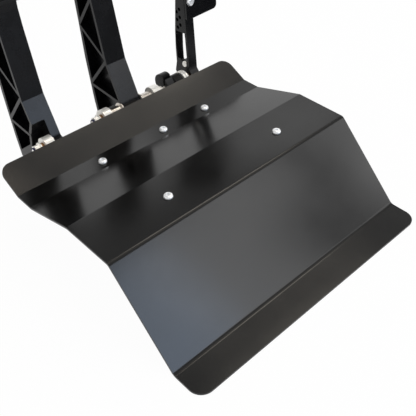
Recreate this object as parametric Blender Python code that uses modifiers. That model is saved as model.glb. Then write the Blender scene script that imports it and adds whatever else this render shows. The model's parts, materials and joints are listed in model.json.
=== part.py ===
"""Floor pedal box with a folded heel plate: clutch, brake and throttle pedals over underfoot cylinders.

Metres, +Z up. X runs across the pedals, +Y points away from the driver, z = 0 is the floor.
y = 0 is the bend between the rear lip and the screw strip of the heel plate.
"""
import math

import bmesh
import bpy
from mathutils import Matrix, Vector

# Fits and shared details
GAP = 0.0003
RUNNING_GAP = 0.0006
ROUND_STEPS = 16
SCREW_STEPS = 12
WELD = 0.000005

# Heel plate, from the rear lip to the toe
PLATE_WIDTH = 0.360
SHEET = 0.0025
BEND_RADIUS = 0.003
BEND_STEPS = 5
REAR_CORNER = 0.013
FRONT_CORNER = 0.016
LIP_LENGTH = 0.0414
LIP_ANGLE = math.radians(26.0)
STRIP_LENGTH = 0.026
RAMP_LENGTH = 0.0761
RAMP_ANGLE = math.radians(16.4)
HEEL_LENGTH = 0.0694
APRON_LENGTH = 0.1243
APRON_ANGLE = math.radians(43.4)
TOE_LENGTH = 0.0371

# Heel plate screws
SCREW_SHANK = 0.003
SCREW_HEAD = 0.0053
SCREW_HEAD_HEIGHT = 0.0033
SCREW_TIP = 0.003
REAR_SCREW_X = (-0.0745, 0.0195, 0.0905)
FRONT_SCREW_X = (-0.075, 0.0955)
REAR_SCREW_INSET = 0.0145
FRONT_SCREW_INSET = 0.0355
POST_RADIUS = 0.007

# Base plate
BASE_THICKNESS = 0.006
BASE_LEFT = -0.132
BASE_RIGHT = 0.165
BASE_FRONT = -0.165
BASE_REAR = 0.098
BASE_CORNER = 0.010
FIXING_HOLE = 0.00425
FIXING_INSET = 0.014
BASE_SCREW_SHANK = 0.0025
BASE_SCREW_HEAD = 0.0045
BASE_SCREW_HEAD_HEIGHT = 0.003

# Pedal pivots
PIVOT_Y = 0.051
PIVOT_Z = 0.0715
PIVOT_PIN = 0.004
BUSH_WALL = 0.002
BUSH_PROUD = 0.0035
BOSS_RADIUS = 0.012
EAR_THICKNESS = 0.012
EAR_FOOT_LENGTH = 0.060
EAR_FOOT_HEIGHT = 0.006
EAR_FOOT_SHIFT = 0.0025
EAR_SCREW_INSET = 0.007
FLANGE_RADIUS = 0.0085
BOLT_FLANGE = 0.0015
BOLT_HEAD = 0.0065
CLUTCH_BOLT_FLANGE = 0.005
CLUTCH_BOLT_HEAD = 0.0045
BOLT_HEAD_HEIGHT = 0.006
LOCK_NUT_FLAT = 0.013
LOCK_NUT_HEIGHT = 0.0065
INSERT_RADIUS = 0.0052
INSERT_HEIGHT = 0.0022
SPACER_WALL = 0.0035
SPACER_FLANGE = 0.0105
SPACER_FLANGE_THICKNESS = 0.002

# Pedal arms
ARM_WIDTH = 0.029
ARM_TOP = 0.336
ARM_WEB = 0.006
FLANGE = 0.0045
RIB = 0.0042
LEVER = 0.040
EYE_RADIUS = 0.011
BRAKE_X = 0.0195
CLUTCH_X = -0.1025
BRAKE_LEAD = math.radians(6.0)
CLUTCH_LEAD = math.radians(9.0)
BRAKE_EAR_OFFSET = 0.040
CHEEK = 0.012

# Side outline of the arms in (y, z) from the bottom up, and the heights of the truss nodes on it
ARM_FRONT = ((0.0495, 0.0785), (0.0730, 0.127), (0.0895, 0.203), (0.0930, 0.226))
ARM_REAR = ((0.1065, 0.031), (0.1125, 0.058), (0.1170, 0.090), (0.1212, 0.119), (0.1252, 0.170),
            (0.1288, 0.206))
TRUSS_FRONT = (0.080, 0.132, 0.210, 0.262, 0.312)
TRUSS_REAR = (0.034, 0.083, 0.164, 0.2375, 0.2855, 0.3235)
NOTCH_EDGE = ((0.0785, 0.030), (0.0685, 0.083), (0.0605, 0.1015))
NOTCH_POCKET_COUNT = 2

# Pads of the clutch and brake
PAD_WIDTH = 0.060
PAD_HEIGHT = 0.100
PAD_RISE = 0.003
PAD_THICKNESS = 0.010
PAD_RIB = 0.0022
PAD_RIBS = 12
CLUTCH_PAD_SHIFT = -0.0135
PAD_SCREW_PITCH = 0.050
PAD_SCREW_DEPTH = 0.012

# Throttle
THROTTLE_X = 0.128
THROTTLE_WIDTH = 0.014
THROTTLE_LEAN = math.radians(5.0)
THROTTLE_TOP = 0.318
THROTTLE_FRONT = 0.0467
THROTTLE_LEVER = 0.036
THROTTLE_HEEL = 0.004
SLOT_LOW = 0.0935
SLOT_MIDDLE = 0.112
SLOT_HIGH = 0.133
SLOT_CORNER = 0.003
SLOT_FRONT_BAR = 0.0036
SLOT_REAR_BAR = 0.0087
SLOT_REAR_WIDTH = 0.006
PRONG_EDGE = 0.0015
PRONG_RISE = 0.003
TRIM_HOLE = 0.0025
TRIM_HOLE_PITCH = 0.0106
TRIM_HOLE_ROWS = 3
TRIM_HOLE_LOW = 0.146
TRIM_HOLE_INSET = 0.0070
TRIM_HOLE_SPREAD = 0.0056
TRIM_HOLE_RISE = -0.0044
THROTTLE_PAD_WIDTH = 0.053
THROTTLE_PAD_BOTTOM = 0.1555
THROTTLE_PAD_RISE = 0.002
THROTTLE_PAD_TOP = 0.322
THROTTLE_PAD_THICKNESS = 0.0035
THROTTLE_PAD_CORNER = 0.006
THROTTLE_PAD_NICK = 0.002
THROTTLE_SCREW_RISE = 0.024
BLOCK_LEFT = 0.078
BLOCK_WIDTH = 0.012
BLOCK_DEPTH = 0.020
BLOCK_SLOT = 0.003
KNUCKLE_RADIUS = 0.0125
KNUCKLE_BACK = 0.007
KNUCKLE_RISE = 0.006
DISC_RADIUS = 0.0138
DISC_THICKNESS = 0.0038
DISC_STANDOFF = 0.0065
SPRING_WIRE = 0.0010
SPRING_RADIUS = 0.0122
SPRING_CURLS = 4
SPRING_PITCH = 0.0028
SPRING_POINTS = 10
SPRING_LEG = 0.014

# Rear line of the throttle arm in (y, z), before it leans, from the boss up
THROTTLE_REAR = ((0.0762, 0.0755), (0.0722, 0.090), (0.0716, 0.112), (0.0696, 0.135), (0.0636, 0.178),
                 (0.0590, THROTTLE_TOP))

# Cylinders, their bracket and push rods
WALL_THICKNESS = 0.004
BRACKET_FOOT = 0.022
BRACKET_SCREW_INSET = 0.012
BRACKET_SCREW_Y = 0.0132
BRACKET_LEFT = -0.126
BRACKET_RIGHT = 0.112
BRACKET_SHELF = 0.023
CYLINDER_SPACING = 0.050
CYLINDER_RADIUS = 0.0135
CYLINDER_LENGTH = 0.095
CYLINDER_FLANGE_WIDTH = 0.045
CYLINDER_FLANGE_HEIGHT = 0.032
CYLINDER_FLANGE_THICKNESS = 0.008
CYLINDER_BOLT_PITCH = 0.035
SNOUT_RADIUS = 0.0115
SNOUT_LENGTH = 0.006
BORE_RADIUS = 0.009
BORE_DEPTH = 0.085
PISTON_LENGTH = 0.028
PISTON_INSET = 0.008
ROD_RADIUS = 0.004
CLEVIS_WIDTH = 0.012
CLEVIS_LENGTH = 0.020
CLEVIS_HEIGHT = 0.018
BAR_RADIUS = 0.005
BAR_HALF = 0.0315
LINK_CLEARANCE = 0.0011
CLEVIS_PIN = 0.004
FITTING_RADIUS = 0.0065
FITTING_HEIGHT = 0.014
FITTING_INSET = 0.018
PORT_BORE = 0.002

# Heights and places that follow from the sizes above
TOE_TOP = SHEET
HEEL_TOP = TOE_TOP + APRON_LENGTH * math.sin(APRON_ANGLE)
STRIP_TOP = HEEL_TOP - RAMP_LENGTH * math.sin(RAMP_ANGLE)
STRIP_FRONT = -STRIP_LENGTH
PAD_TOP = ARM_TOP + PAD_RISE
PAD_BOTTOM = PAD_TOP - PAD_HEIGHT
HEEL_REAR = STRIP_FRONT - RAMP_LENGTH * math.cos(RAMP_ANGLE)
HEEL_FRONT = HEEL_REAR - HEEL_LENGTH
TOE_REAR = HEEL_FRONT - APRON_LENGTH * math.cos(APRON_ANGLE)
TOE_FRONT = TOE_REAR - TOE_LENGTH
LIP_REAR = LIP_LENGTH * math.cos(LIP_ANGLE)
LIP_TOP = STRIP_TOP + LIP_LENGTH * math.sin(LIP_ANGLE)
STRIP_UNDER = STRIP_TOP - SHEET
HEEL_UNDER = HEEL_TOP - SHEET
BASE_SEAT = BASE_THICKNESS + GAP
BUSH_RADIUS = PIVOT_PIN + GAP + BUSH_WALL
SPACER_RADIUS = PIVOT_PIN + GAP + SPACER_WALL
BLOCK_TOP = PIVOT_Z + KNUCKLE_RISE + KNUCKLE_RADIUS
ROD_Z = PIVOT_Z - LEVER * (1.0 + math.cos(BRAKE_LEAD)) / 2.0
SHELF_TOP = STRIP_UNDER - GAP
SHELF_UNDER = SHELF_TOP - WALL_THICKNESS
WALL_FRONT = -WALL_THICKNESS
FLANGE_REAR = WALL_FRONT - GAP
FLANGE_FRONT = FLANGE_REAR - CYLINDER_FLANGE_THICKNESS
SNOUT_REAR = SNOUT_LENGTH
PISTON_REAR = SNOUT_REAR - PISTON_INSET
REAR_SCREW_Y = -REAR_SCREW_INSET
FRONT_SCREW_Y = HEEL_REAR - FRONT_SCREW_INSET
CLUTCH_ROD_X = CLUTCH_X + ARM_WIDTH / 2.0 + RUNNING_GAP + CLEVIS_WIDTH / 2.0
CYLINDER_X = (BRAKE_X - CYLINDER_SPACING / 2.0, BRAKE_X + CYLINDER_SPACING / 2.0, CLUTCH_ROD_X)


def clear_scene():
    """Remove whatever the file already holds."""
    for item in list(bpy.data.objects):
        bpy.data.objects.remove(item, do_unlink=True)


clear_scene()
PARTS = bpy.data.collections.new("pedal_box")
CUTTERS = bpy.data.collections.new("pedal_box_cutters")
bpy.context.scene.collection.children.link(PARTS)
bpy.context.scene.collection.children.link(CUTTERS)


def material(name, colour, roughness, metallic):
    """Return a Principled material with one plain colour."""
    made = bpy.data.materials.new(name)
    made.use_nodes = True
    shader = made.node_tree.nodes["Principled BSDF"]
    shader.inputs["Base Color"].default_value = (*colour, 1.0)
    shader.inputs["Roughness"].default_value = roughness
    shader.inputs["Metallic"].default_value = metallic
    return made


POWDER_COAT = material("black_powder_coat", (0.030, 0.030, 0.029), 0.42, 0.0)
ANODISED = material("black_anodised", (0.016, 0.016, 0.019), 0.38, 0.3)
ZINC = material("bright_zinc", (0.78, 0.78, 0.76), 0.28, 1.0)
STEEL = material("plain_steel", (0.62, 0.60, 0.57), 0.32, 1.0)
ALUMINIUM = material("plain_aluminium", (0.66, 0.66, 0.67), 0.40, 1.0)
BRONZE = material("oiled_bronze", (0.36, 0.22, 0.11), 0.45, 1.0)
BLUE_NYLON = material("blue_nylon", (0.010, 0.012, 0.090), 0.50, 0.0)
RUBBER = material("black_rubber", (0.018, 0.018, 0.018), 0.75, 0.0)
SPRING_STEEL = material("black_spring_steel", (0.020, 0.020, 0.020), 0.40, 0.8)

# Columns that carry an outline's (u, v, w) to the world: side views run along y and z, w along x
SIDE = Matrix(((0, 0, 1), (1, 0, 0), (0, 1, 0))).to_4x4()
FRONT = Matrix(((1, 0, 0), (0, 0, -1), (0, 1, 0))).to_4x4()
PLAN = Matrix.Identity(4)


def finish_mesh(mesh):
    """Shade a mesh smooth with its edges kept sharp."""
    mesh.shade_smooth()
    mesh.set_sharp_from_angle(angle=math.radians(30.0))


def add_part(name, mesh, finish, axis=None):
    """Add a mesh as a named part, parented to the empty on its joint axis if it moves."""
    part = bpy.data.objects.new(name, mesh)
    PARTS.objects.link(part)
    finish_mesh(mesh)
    mesh.materials.clear()
    mesh.materials.append(finish)
    if axis is not None:
        part.parent = axis
        part.matrix_parent_inverse = Matrix.Translation(axis.location).inverted()
    return part


def add_axis(name, place):
    """Add an empty on a joint axis."""
    axis = bpy.data.objects.new(name, None)
    axis.location = place
    axis.empty_display_size = 0.02
    PARTS.objects.link(axis)
    return axis


def mesh_from(bm, name):
    """Turn a bmesh into a mesh with its faces pointing out."""
    bmesh.ops.recalc_face_normals(bm, faces=bm.faces[:])
    mesh = bpy.data.meshes.new(name)
    bm.to_mesh(mesh)
    bm.free()
    return mesh


def shaper(part, mesh):
    """Add a hidden mesh that shapes a part and moves with it."""
    helper = bpy.data.objects.new(f"{part.name}_{mesh.name}", mesh)
    CUTTERS.objects.link(helper)
    helper.parent = part.parent
    helper.matrix_parent_inverse = part.matrix_parent_inverse
    helper.hide_render = True
    helper.display_type = "WIRE"
    return helper


def cut(part, cutters):
    """Take one or more closed meshes out of a part."""
    for mesh in cutters:
        step = part.modifiers.new(f"cut_{mesh.name}", "BOOLEAN")
        step.operation = "DIFFERENCE"
        step.object = shaper(part, mesh)
    return part


def combine(part, mesh, operation):
    """Unite a part with a closed mesh, or keep only what lies inside that mesh."""
    step = part.modifiers.new(mesh.name, "BOOLEAN")
    step.operation = operation
    step.object = shaper(part, mesh)
    return part


def box_into(bm, low, high):
    """Add a box between two corners to a bmesh."""
    low = Vector(low)
    high = Vector(high)
    size = Matrix.Diagonal((*(high - low), 1.0))
    bmesh.ops.create_cube(bm, size=1.0, matrix=Matrix.Translation((low + high) / 2.0) @ size)


def rod_into(bm, start, end, radius, steps=ROUND_STEPS):
    """Add a round or many-sided bar between two points to a bmesh."""
    start = Vector(start)
    end = Vector(end)
    along = end - start
    turn = along.to_track_quat("Z", "Y").to_matrix().to_4x4()
    place = Matrix.Translation((start + end) / 2.0) @ turn
    bmesh.ops.create_cone(bm, cap_ends=True, segments=steps, radius1=radius, radius2=radius,
                          depth=along.length, matrix=place)


def boxes(name, corners):
    """Return one mesh that holds a box for each pair of corners."""
    bm = bmesh.new()
    for low, high in corners:
        box_into(bm, low, high)
    return mesh_from(bm, name)


def rods(name, ends, radius, steps=ROUND_STEPS):
    """Return one mesh that holds a bar for each pair of end points."""
    bm = bmesh.new()
    for start, end in ends:
        rod_into(bm, start, end, radius, steps)
    return mesh_from(bm, name)


def hex_radius(across_flats):
    """Return the corner radius of a hexagon from its width across flats."""
    return across_flats / math.sqrt(3.0)


def rounded(points, radius, steps=BEND_STEPS, closed=True):
    """Round the corners of a polyline, each by one radius or by its own in a list."""
    count = len(points)
    radii = radius if isinstance(radius, (list, tuple)) else [radius] * count
    path = []
    for index, point in enumerate(points):
        corner = Vector(point)
        on_end = not closed and index in (0, count - 1)
        if on_end or radii[index] <= 0.0:
            path.append(corner)
            continue
        back = (Vector(points[index - 1]) - corner).normalized()
        ahead = (Vector(points[(index + 1) % count]) - corner).normalized()
        half = back.angle(ahead) / 2.0
        reach = radii[index] / math.tan(half)
        centre = corner + (back + ahead).normalized() * radii[index] / math.sin(half)
        first = corner + back * reach - centre
        last = corner + ahead * reach - centre
        sweep = first.angle_signed(last)
        for step in range(steps + 1):
            turn = Matrix.Rotation(-sweep * step / steps, 2)
            path.append(centre + turn @ first)
    return path


def extruded(name, points, low, high, view):
    """Return a flat outline made solid from low to high along the view's own third axis."""
    curve = bpy.data.curves.new(name, "CURVE")
    curve.dimensions = "2D"
    curve.fill_mode = "BOTH"
    curve.extrude = (high - low) / 2.0
    spline = curve.splines.new("POLY")
    spline.points.add(len(points) - 1)
    for target, point in zip(spline.points, points):
        target.co = (point[0], point[1], 0.0, 1.0)
    spline.use_cyclic_u = True
    holder = bpy.data.objects.new(name, curve)
    bpy.context.scene.collection.objects.link(holder)
    mesh = bpy.data.meshes.new_from_object(holder.evaluated_get(bpy.context.evaluated_depsgraph_get()))
    bpy.data.objects.remove(holder)
    bm = bmesh.new()
    bm.from_mesh(mesh)
    bmesh.ops.remove_doubles(bm, verts=bm.verts[:], dist=WELD)
    bmesh.ops.transform(bm, matrix=view @ Matrix.Translation((0, 0, (low + high) / 2.0)), verts=bm.verts[:])
    return mesh_from(bm, name)


def turned(name, profile, place, steps=SCREW_STEPS):
    """Return a profile of (radius, height) points turned about its axis and set at a place."""
    outline = bpy.data.meshes.new(name)
    points = [(radius, 0.0, height) for radius, height in profile]
    outline.from_pydata(points, [(index, index + 1) for index in range(len(points) - 1)], [])
    holder = bpy.data.objects.new(name, outline)
    bpy.context.scene.collection.objects.link(holder)
    screw = holder.modifiers.new("turn", "SCREW")
    screw.steps = steps
    screw.render_steps = steps
    screw.use_merge_vertices = True
    screw.merge_threshold = 2 * WELD
    solid = bpy.data.meshes.new_from_object(holder.evaluated_get(bpy.context.evaluated_depsgraph_get()))
    bpy.data.objects.remove(holder)
    bm = bmesh.new()
    bm.from_mesh(solid)
    bmesh.ops.transform(bm, matrix=place, verts=bm.verts[:])
    return mesh_from(bm, name)


def inset(points, distances):
    """Move each edge of a convex outline inward by its own distance."""
    count = len(points)
    area = sum(points[i][0] * points[(i + 1) % count][1] - points[(i + 1) % count][0] * points[i][1]
               for i in range(count))
    side = 1.0 if area > 0.0 else -1.0
    lines = []
    for index in range(count):
        start = Vector(points[index])
        along = (Vector(points[(index + 1) % count]) - start).normalized()
        inward = Vector((-along.y, along.x)) * side
        lines.append((start + inward * distances[index], along))
    corners = []
    for index in range(count):
        here, along = lines[index - 1]
        there, next_along = lines[index]
        cross = along.x * next_along.y - along.y * next_along.x
        reach = ((there.x - here.x) * next_along.y - (there.y - here.y) * next_along.x) / cross
        corners.append(here + along * reach)
    return corners


def arc(centre, radius, start, end, steps):
    """Return points round a centre, with the angles in degrees."""
    points = []
    for step in range(steps + 1):
        angle = math.radians(start + (end - start) * step / steps)
        points.append((centre[0] + radius * math.cos(angle), centre[1] + radius * math.sin(angle)))
    return points


def at(x, y, z):
    """Return the placement of an upright piece."""
    return Matrix.Translation((x, y, z))


def facing(x, y, z, direction):
    """Return the placement of a piece whose own +Z points along a direction."""
    turn = Vector(direction).to_track_quat("Z", "Y").to_matrix().to_4x4()
    return Matrix.Translation((x, y, z)) @ turn


def button_profile(head, height, shank, length):
    """Return the outline of a button head screw: dome, underside and shank, seat at height 0."""
    crown = head * 0.55
    return [(0.0, height), (crown, height), (head * 0.85, height * 0.6), (head, height * 0.1), (head, 0.0),
            (shank, 0.0), (shank, -length), (0.0, -length)]


def cap_profile(head, height, shank, length):
    """Return the outline of a cap head bolt, seat at height 0."""
    return [(0.0, height), (head * 0.9, height), (head, height * 0.9), (head, 0.0), (shank, 0.0),
            (shank, -length), (0.0, -length)]


def ring(name, span, outer, inner):
    """Return a plain ring round the pivot axis over a (low, high) span along X."""
    low, high = span
    length = high - low
    profile = [(inner, length), (outer, length), (outer, 0.0), (inner, 0.0), (inner, length)]
    return turned(name, profile, facing(low, PIVOT_Y, PIVOT_Z, (1, 0, 0)), ROUND_STEPS)


def x_rods(name, spans, radius, y, z, steps=ROUND_STEPS):
    """Return one mesh that holds a bar along X for each (low, high) span."""
    return rods(name, [((low, y, z), (high, y, z)) for low, high in spans], radius, steps)


# Heel plate
def heel_profile():
    """Return the folded plate's top line in (y, z), from the rear lip to the toe."""
    corners = [(LIP_REAR + SHEET, LIP_TOP + SHEET * math.tan(LIP_ANGLE)), (0.0, STRIP_TOP),
               (STRIP_FRONT, STRIP_TOP), (HEEL_REAR, HEEL_TOP), (HEEL_FRONT, HEEL_TOP),
               (TOE_REAR, TOE_TOP), (TOE_FRONT - SHEET, TOE_TOP)]
    valley = BEND_RADIUS
    crest = BEND_RADIUS + SHEET
    return rounded(corners, [0.0, valley, valley, crest, crest, valley, 0.0], closed=False)


def make_heel_plate():
    """Fold one sheet to the profile, then trim it to its rounded plan outline and drill it."""
    profile = heel_profile()
    half = PLATE_WIDTH / 2.0
    sheet = bpy.data.meshes.new("heel_plate")
    points = [(side * (half + SHEET), y, z) for y, z in profile for side in (-1.0, 1.0)]
    faces = [(2 * i, 2 * i + 1, 2 * i + 3, 2 * i + 2) for i in range(len(profile) - 1)]
    sheet.from_pydata(points, [], faces)
    plate = add_part("heel_plate", sheet, POWDER_COAT)
    thicken = plate.modifiers.new("thickness", "SOLIDIFY")
    thicken.thickness = SHEET
    thicken.offset = 1.0
    thicken.use_even_offset = True
    plan = rounded([(-half, TOE_FRONT), (half, TOE_FRONT), (half, LIP_REAR), (-half, LIP_REAR)],
                   [FRONT_CORNER, FRONT_CORNER, REAR_CORNER, REAR_CORNER], steps=8)
    combine(plate, extruded("heel_plan", plan, -SHEET, LIP_TOP + BOSS_RADIUS, PLAN), "INTERSECT")
    hole = SCREW_SHANK + GAP
    ends = [((x, y, top - 2 * SHEET), (x, y, top + SHEET)) for x, y, top in screw_seats()]
    cut(plate, [rods("heel_holes", ends, hole)])


def screw_seats():
    """Return where each heel plate screw sits: x, y and the plate's top."""
    seats = [(x, REAR_SCREW_Y, STRIP_TOP) for x in REAR_SCREW_X]
    return seats + [(x, FRONT_SCREW_Y, HEEL_TOP) for x in FRONT_SCREW_X]


def make_heel_fasteners():
    """Add the five button head screws and the two front posts."""
    length = SHEET + WALL_THICKNESS + SCREW_TIP
    profile = button_profile(SCREW_HEAD, SCREW_HEAD_HEIGHT, SCREW_SHANK, length)
    names = ("rear_left", "rear_middle", "rear_right", "front_left", "front_right")
    for place, (x, y, top) in zip(names, screw_seats()):
        name = f"heel_screw_{place}"
        add_part(name, turned(name, profile, at(x, y, top + GAP)), ZINC)
    for name, x in zip(("heel_post_left", "heel_post_right"), FRONT_SCREW_X):
        top = HEEL_UNDER - GAP
        post = rods(name, [((x, FRONT_SCREW_Y, BASE_SEAT), (x, FRONT_SCREW_Y, top))], POST_RADIUS)
        bore_top = ((x, FRONT_SCREW_Y, top - 2 * length), (x, FRONT_SCREW_Y, top + GAP))
        bore_foot = ((x, FRONT_SCREW_Y, 0.0), (x, FRONT_SCREW_Y, BASE_THICKNESS + 3 * BASE_SCREW_HEAD))
        cut(add_part(name, post, ALUMINIUM), [
            rods("post_bore", [bore_top], SCREW_SHANK + GAP),
            rods("post_foot_bore", [bore_foot], BASE_SCREW_SHANK + GAP)])


# Base plate
def base_screw_places():
    """Return the plan places of the screws that come up through the base into the pieces on it."""
    return [(x, FRONT_SCREW_Y) for x in FRONT_SCREW_X]


def bracket_screw_places():
    """Return the plan places of the four screws in the bracket's foot."""
    middle = (BRAKE_X + CLUTCH_X) / 2.0
    ends = (BRACKET_LEFT + BRACKET_SCREW_INSET, BRACKET_RIGHT - BRACKET_SCREW_INSET)
    return [(x, BRACKET_SCREW_Y) for x in (ends[0], middle, BRAKE_X, ends[1])]


def ear_places():
    """Return the name and the middle along X of each bearing ear."""
    return [("brake_ear_left", BRAKE_X - BRAKE_EAR_OFFSET), ("brake_ear_right", BRAKE_X + BRAKE_EAR_OFFSET),
            ("clutch_ear", clutch_ear_x())]


def clutch_ear_x():
    """Return the middle of the clutch ear, in the notch beside the arm's cheek."""
    return CLUTCH_X + ARM_WIDTH / 2.0 - CHEEK - RUNNING_GAP - EAR_THICKNESS / 2.0


def ear_screw_places():
    """Return the plan places of the screws in the feet of the ears and the throttle block."""
    reach = EAR_FOOT_LENGTH / 2.0 - EAR_SCREW_INSET
    middle_y = PIVOT_Y + EAR_FOOT_SHIFT
    middles = [x for name, x in ear_places()] + [BLOCK_LEFT + BLOCK_WIDTH / 2.0]
    return [(x, middle_y + side * reach) for x in middles for side in (-1.0, 1.0)]


def make_base():
    """Add the base plate with its floor fixing holes and the holes for what stands on it."""
    outline = rounded([(BASE_LEFT, BASE_FRONT), (BASE_RIGHT, BASE_FRONT), (BASE_RIGHT, BASE_REAR),
                       (BASE_LEFT, BASE_REAR)], BASE_CORNER)
    base = add_part("base_plate", extruded("base_plate", outline, 0.0, BASE_THICKNESS, PLAN), ANODISED)
    xs = (BASE_LEFT + FIXING_INSET, BASE_RIGHT - FIXING_INSET)
    ys = (BASE_FRONT + FIXING_INSET, (BASE_FRONT + BASE_REAR) / 2.0, BASE_REAR - FIXING_INSET)
    fixing = [((x, y, -GAP), (x, y, BASE_THICKNESS + GAP)) for x in xs for y in ys]
    tapped = [((x, y, -GAP), (x, y, BASE_THICKNESS + GAP))
              for x, y in bracket_screw_places() + ear_screw_places() + base_screw_places()]
    sunk = [((x, y, -GAP), (x, y, BASE_SCREW_HEAD_HEIGHT + 2 * GAP)) for x, y in base_screw_places()]
    cut(base, [rods("fixing_holes", fixing, FIXING_HOLE),
               rods("tapped_holes", tapped, BASE_SCREW_SHANK + GAP),
               rods("sunk_holes", sunk, BASE_SCREW_HEAD + GAP)])


# Bracket and cylinders
def make_bracket():
    """Add the folded bracket: shelf under the screw strip, wall for the cylinders, foot on the base."""
    outline = [(-BRACKET_SHELF, SHELF_TOP), (-BRACKET_SHELF, SHELF_UNDER), (WALL_FRONT, SHELF_UNDER),
               (WALL_FRONT, BASE_SEAT), (BRACKET_FOOT, BASE_SEAT), (BRACKET_FOOT, BASE_SEAT + WALL_THICKNESS),
               (0.0, BASE_SEAT + WALL_THICKNESS), (0.0, SHELF_TOP)]
    bracket = add_part("cylinder_bracket",
                       extruded("cylinder_bracket", outline, BRACKET_LEFT, BRACKET_RIGHT, SIDE), ANODISED)
    holes = [((x, REAR_SCREW_Y, SHELF_UNDER - GAP), (x, REAR_SCREW_Y, SHELF_TOP + GAP)) for x in REAR_SCREW_X]
    snouts = [((x, WALL_FRONT - GAP, ROD_Z), (x, GAP, ROD_Z)) for x in CYLINDER_X]
    bolts = [((x, WALL_FRONT - GAP, ROD_Z), (x, GAP, ROD_Z)) for pair in cylinder_bolt_places() for x in pair]
    feet = [((x, y, BASE_SEAT - GAP), (x, y, BASE_SEAT + WALL_THICKNESS + GAP))
            for x, y in bracket_screw_places()]
    cut(bracket, [rods("shelf_holes", holes, SCREW_SHANK + GAP),
                  rods("snout_holes", snouts, SNOUT_RADIUS + GAP),
                  rods("bolt_holes", bolts, BASE_SCREW_SHANK + GAP, SCREW_STEPS),
                  rods("foot_holes", feet, BASE_SCREW_SHANK + GAP, SCREW_STEPS)])


def cylinder_bolt_places():
    """Return the x of the two flange bolts, level with the bore, in one list for each cylinder."""
    return [[x + side * CYLINDER_BOLT_PITCH / 2.0 for side in (-1.0, 1.0)] for x in CYLINDER_X]


def make_cylinders():
    """Add the three master cylinders with their inlet and outlet fittings."""
    names = ("brake_cylinder_left", "brake_cylinder_right", "clutch_cylinder")
    front = FLANGE_FRONT - CYLINDER_LENGTH
    hose_tail = PORT_BORE * 2
    shoulder = FITTING_HEIGHT * 0.55
    fitting = [(0.0, FITTING_HEIGHT), (hose_tail, FITTING_HEIGHT), (hose_tail, shoulder + hose_tail * 0.2),
               (FITTING_RADIUS, shoulder), (FITTING_RADIUS, 0.0), (0.0, 0.0)]
    for name, x, bolt_pair in zip(names, CYLINDER_X, cylinder_bolt_places()):
        half = CYLINDER_FLANGE_WIDTH / 2.0
        tall = CYLINDER_FLANGE_HEIGHT / 2.0
        plate = rounded([(x - half, ROD_Z - tall), (x + half, ROD_Z - tall), (x + half, ROD_Z + tall),
                         (x - half, ROD_Z + tall)], tall * 0.6)
        body = add_part(name, extruded(name, plate, -FLANGE_REAR, -FLANGE_FRONT, FRONT), ANODISED)
        barrel = rods("barrel", [((x, FLANGE_FRONT + GAP, ROD_Z), (x, front, ROD_Z))], CYLINDER_RADIUS)
        snout = rods("snout", [((x, FLANGE_REAR - GAP, ROD_Z), (x, SNOUT_REAR, ROD_Z))], SNOUT_RADIUS)
        combine(body, barrel, "UNION")
        combine(body, snout, "UNION")
        bore_ends = ((x, SNOUT_REAR - BORE_DEPTH, ROD_Z), (x, SNOUT_REAR + GAP, ROD_Z))
        bore = rods("bore", [bore_ends], BORE_RADIUS)
        inlet = ((x, front + FITTING_INSET, ROD_Z), (x, front + FITTING_INSET, ROD_Z + 2 * CYLINDER_RADIUS))
        outlet = ((x, front - GAP, ROD_Z), (x, front + 2 * FITTING_INSET, ROD_Z))
        bolts = [((bolt_x, FLANGE_FRONT - GAP, ROD_Z), (bolt_x, FLANGE_REAR + GAP, ROD_Z))
                 for bolt_x in bolt_pair]
        cut(body, [bore, rods("inlet_port", [inlet], PORT_BORE, SCREW_STEPS),
                   rods("outlet_port", [outlet], PORT_BORE, SCREW_STEPS),
                   rods("flange_bolts", bolts, BASE_SCREW_SHANK + GAP, SCREW_STEPS)])
        outs = facing(x, front - GAP, ROD_Z, (0, -1, 0))
        add_part(f"{name}_outlet", turned("outlet", fitting, outs), ALUMINIUM)
        ins = at(x, front + FITTING_INSET, ROD_Z + CYLINDER_RADIUS + GAP)
        add_part(f"{name}_inlet", turned("inlet", fitting, ins), ALUMINIUM)


# Bearing ears, pivots and bushes
def ear_outline():
    """Return the side outline of a bearing ear: round head, upright neck and foot."""
    low = PIVOT_Y + EAR_FOOT_SHIFT - EAR_FOOT_LENGTH / 2.0
    high = low + EAR_FOOT_LENGTH
    foot_top = BASE_SEAT + EAR_FOOT_HEIGHT
    neck = BOSS_RADIUS * 0.9
    head = arc((PIVOT_Y, PIVOT_Z), BOSS_RADIUS, -20.0, 200.0, 16)
    rear = [(low, BASE_SEAT), (high, BASE_SEAT), (high, foot_top), (PIVOT_Y + neck, foot_top + neck * 0.5)]
    return rear + head + [(PIVOT_Y - neck, foot_top), (low, foot_top)]


def make_ears():
    """Add the three bright bearing ears with their bushes."""
    for name, x in ear_places():
        half = EAR_THICKNESS / 2.0
        ear = add_part(name, extruded(name, ear_outline(), x - half, x + half, SIDE), ZINC)
        feet = [((sx, sy, 0.0), (sx, sy, 2 * BASE_SEAT + EAR_FOOT_HEIGHT))
                for sx, sy in ear_screw_places() if abs(sx - x) < GAP]
        cut(ear, [x_rods("ear_bore", [(x - half - GAP, x + half + GAP)], BUSH_RADIUS + GAP, PIVOT_Y, PIVOT_Z),
                  rods("ear_foot_holes", feet, BASE_SCREW_SHANK + GAP, SCREW_STEPS)])
        left = x - half - (0.0 if name == "brake_ear_right" else BUSH_PROUD)
        bush = ring(f"{name}_bush", (left, x + half), BUSH_RADIUS, PIVOT_PIN + GAP)
        add_part(f"{name}_bush", bush, BRONZE)


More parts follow.
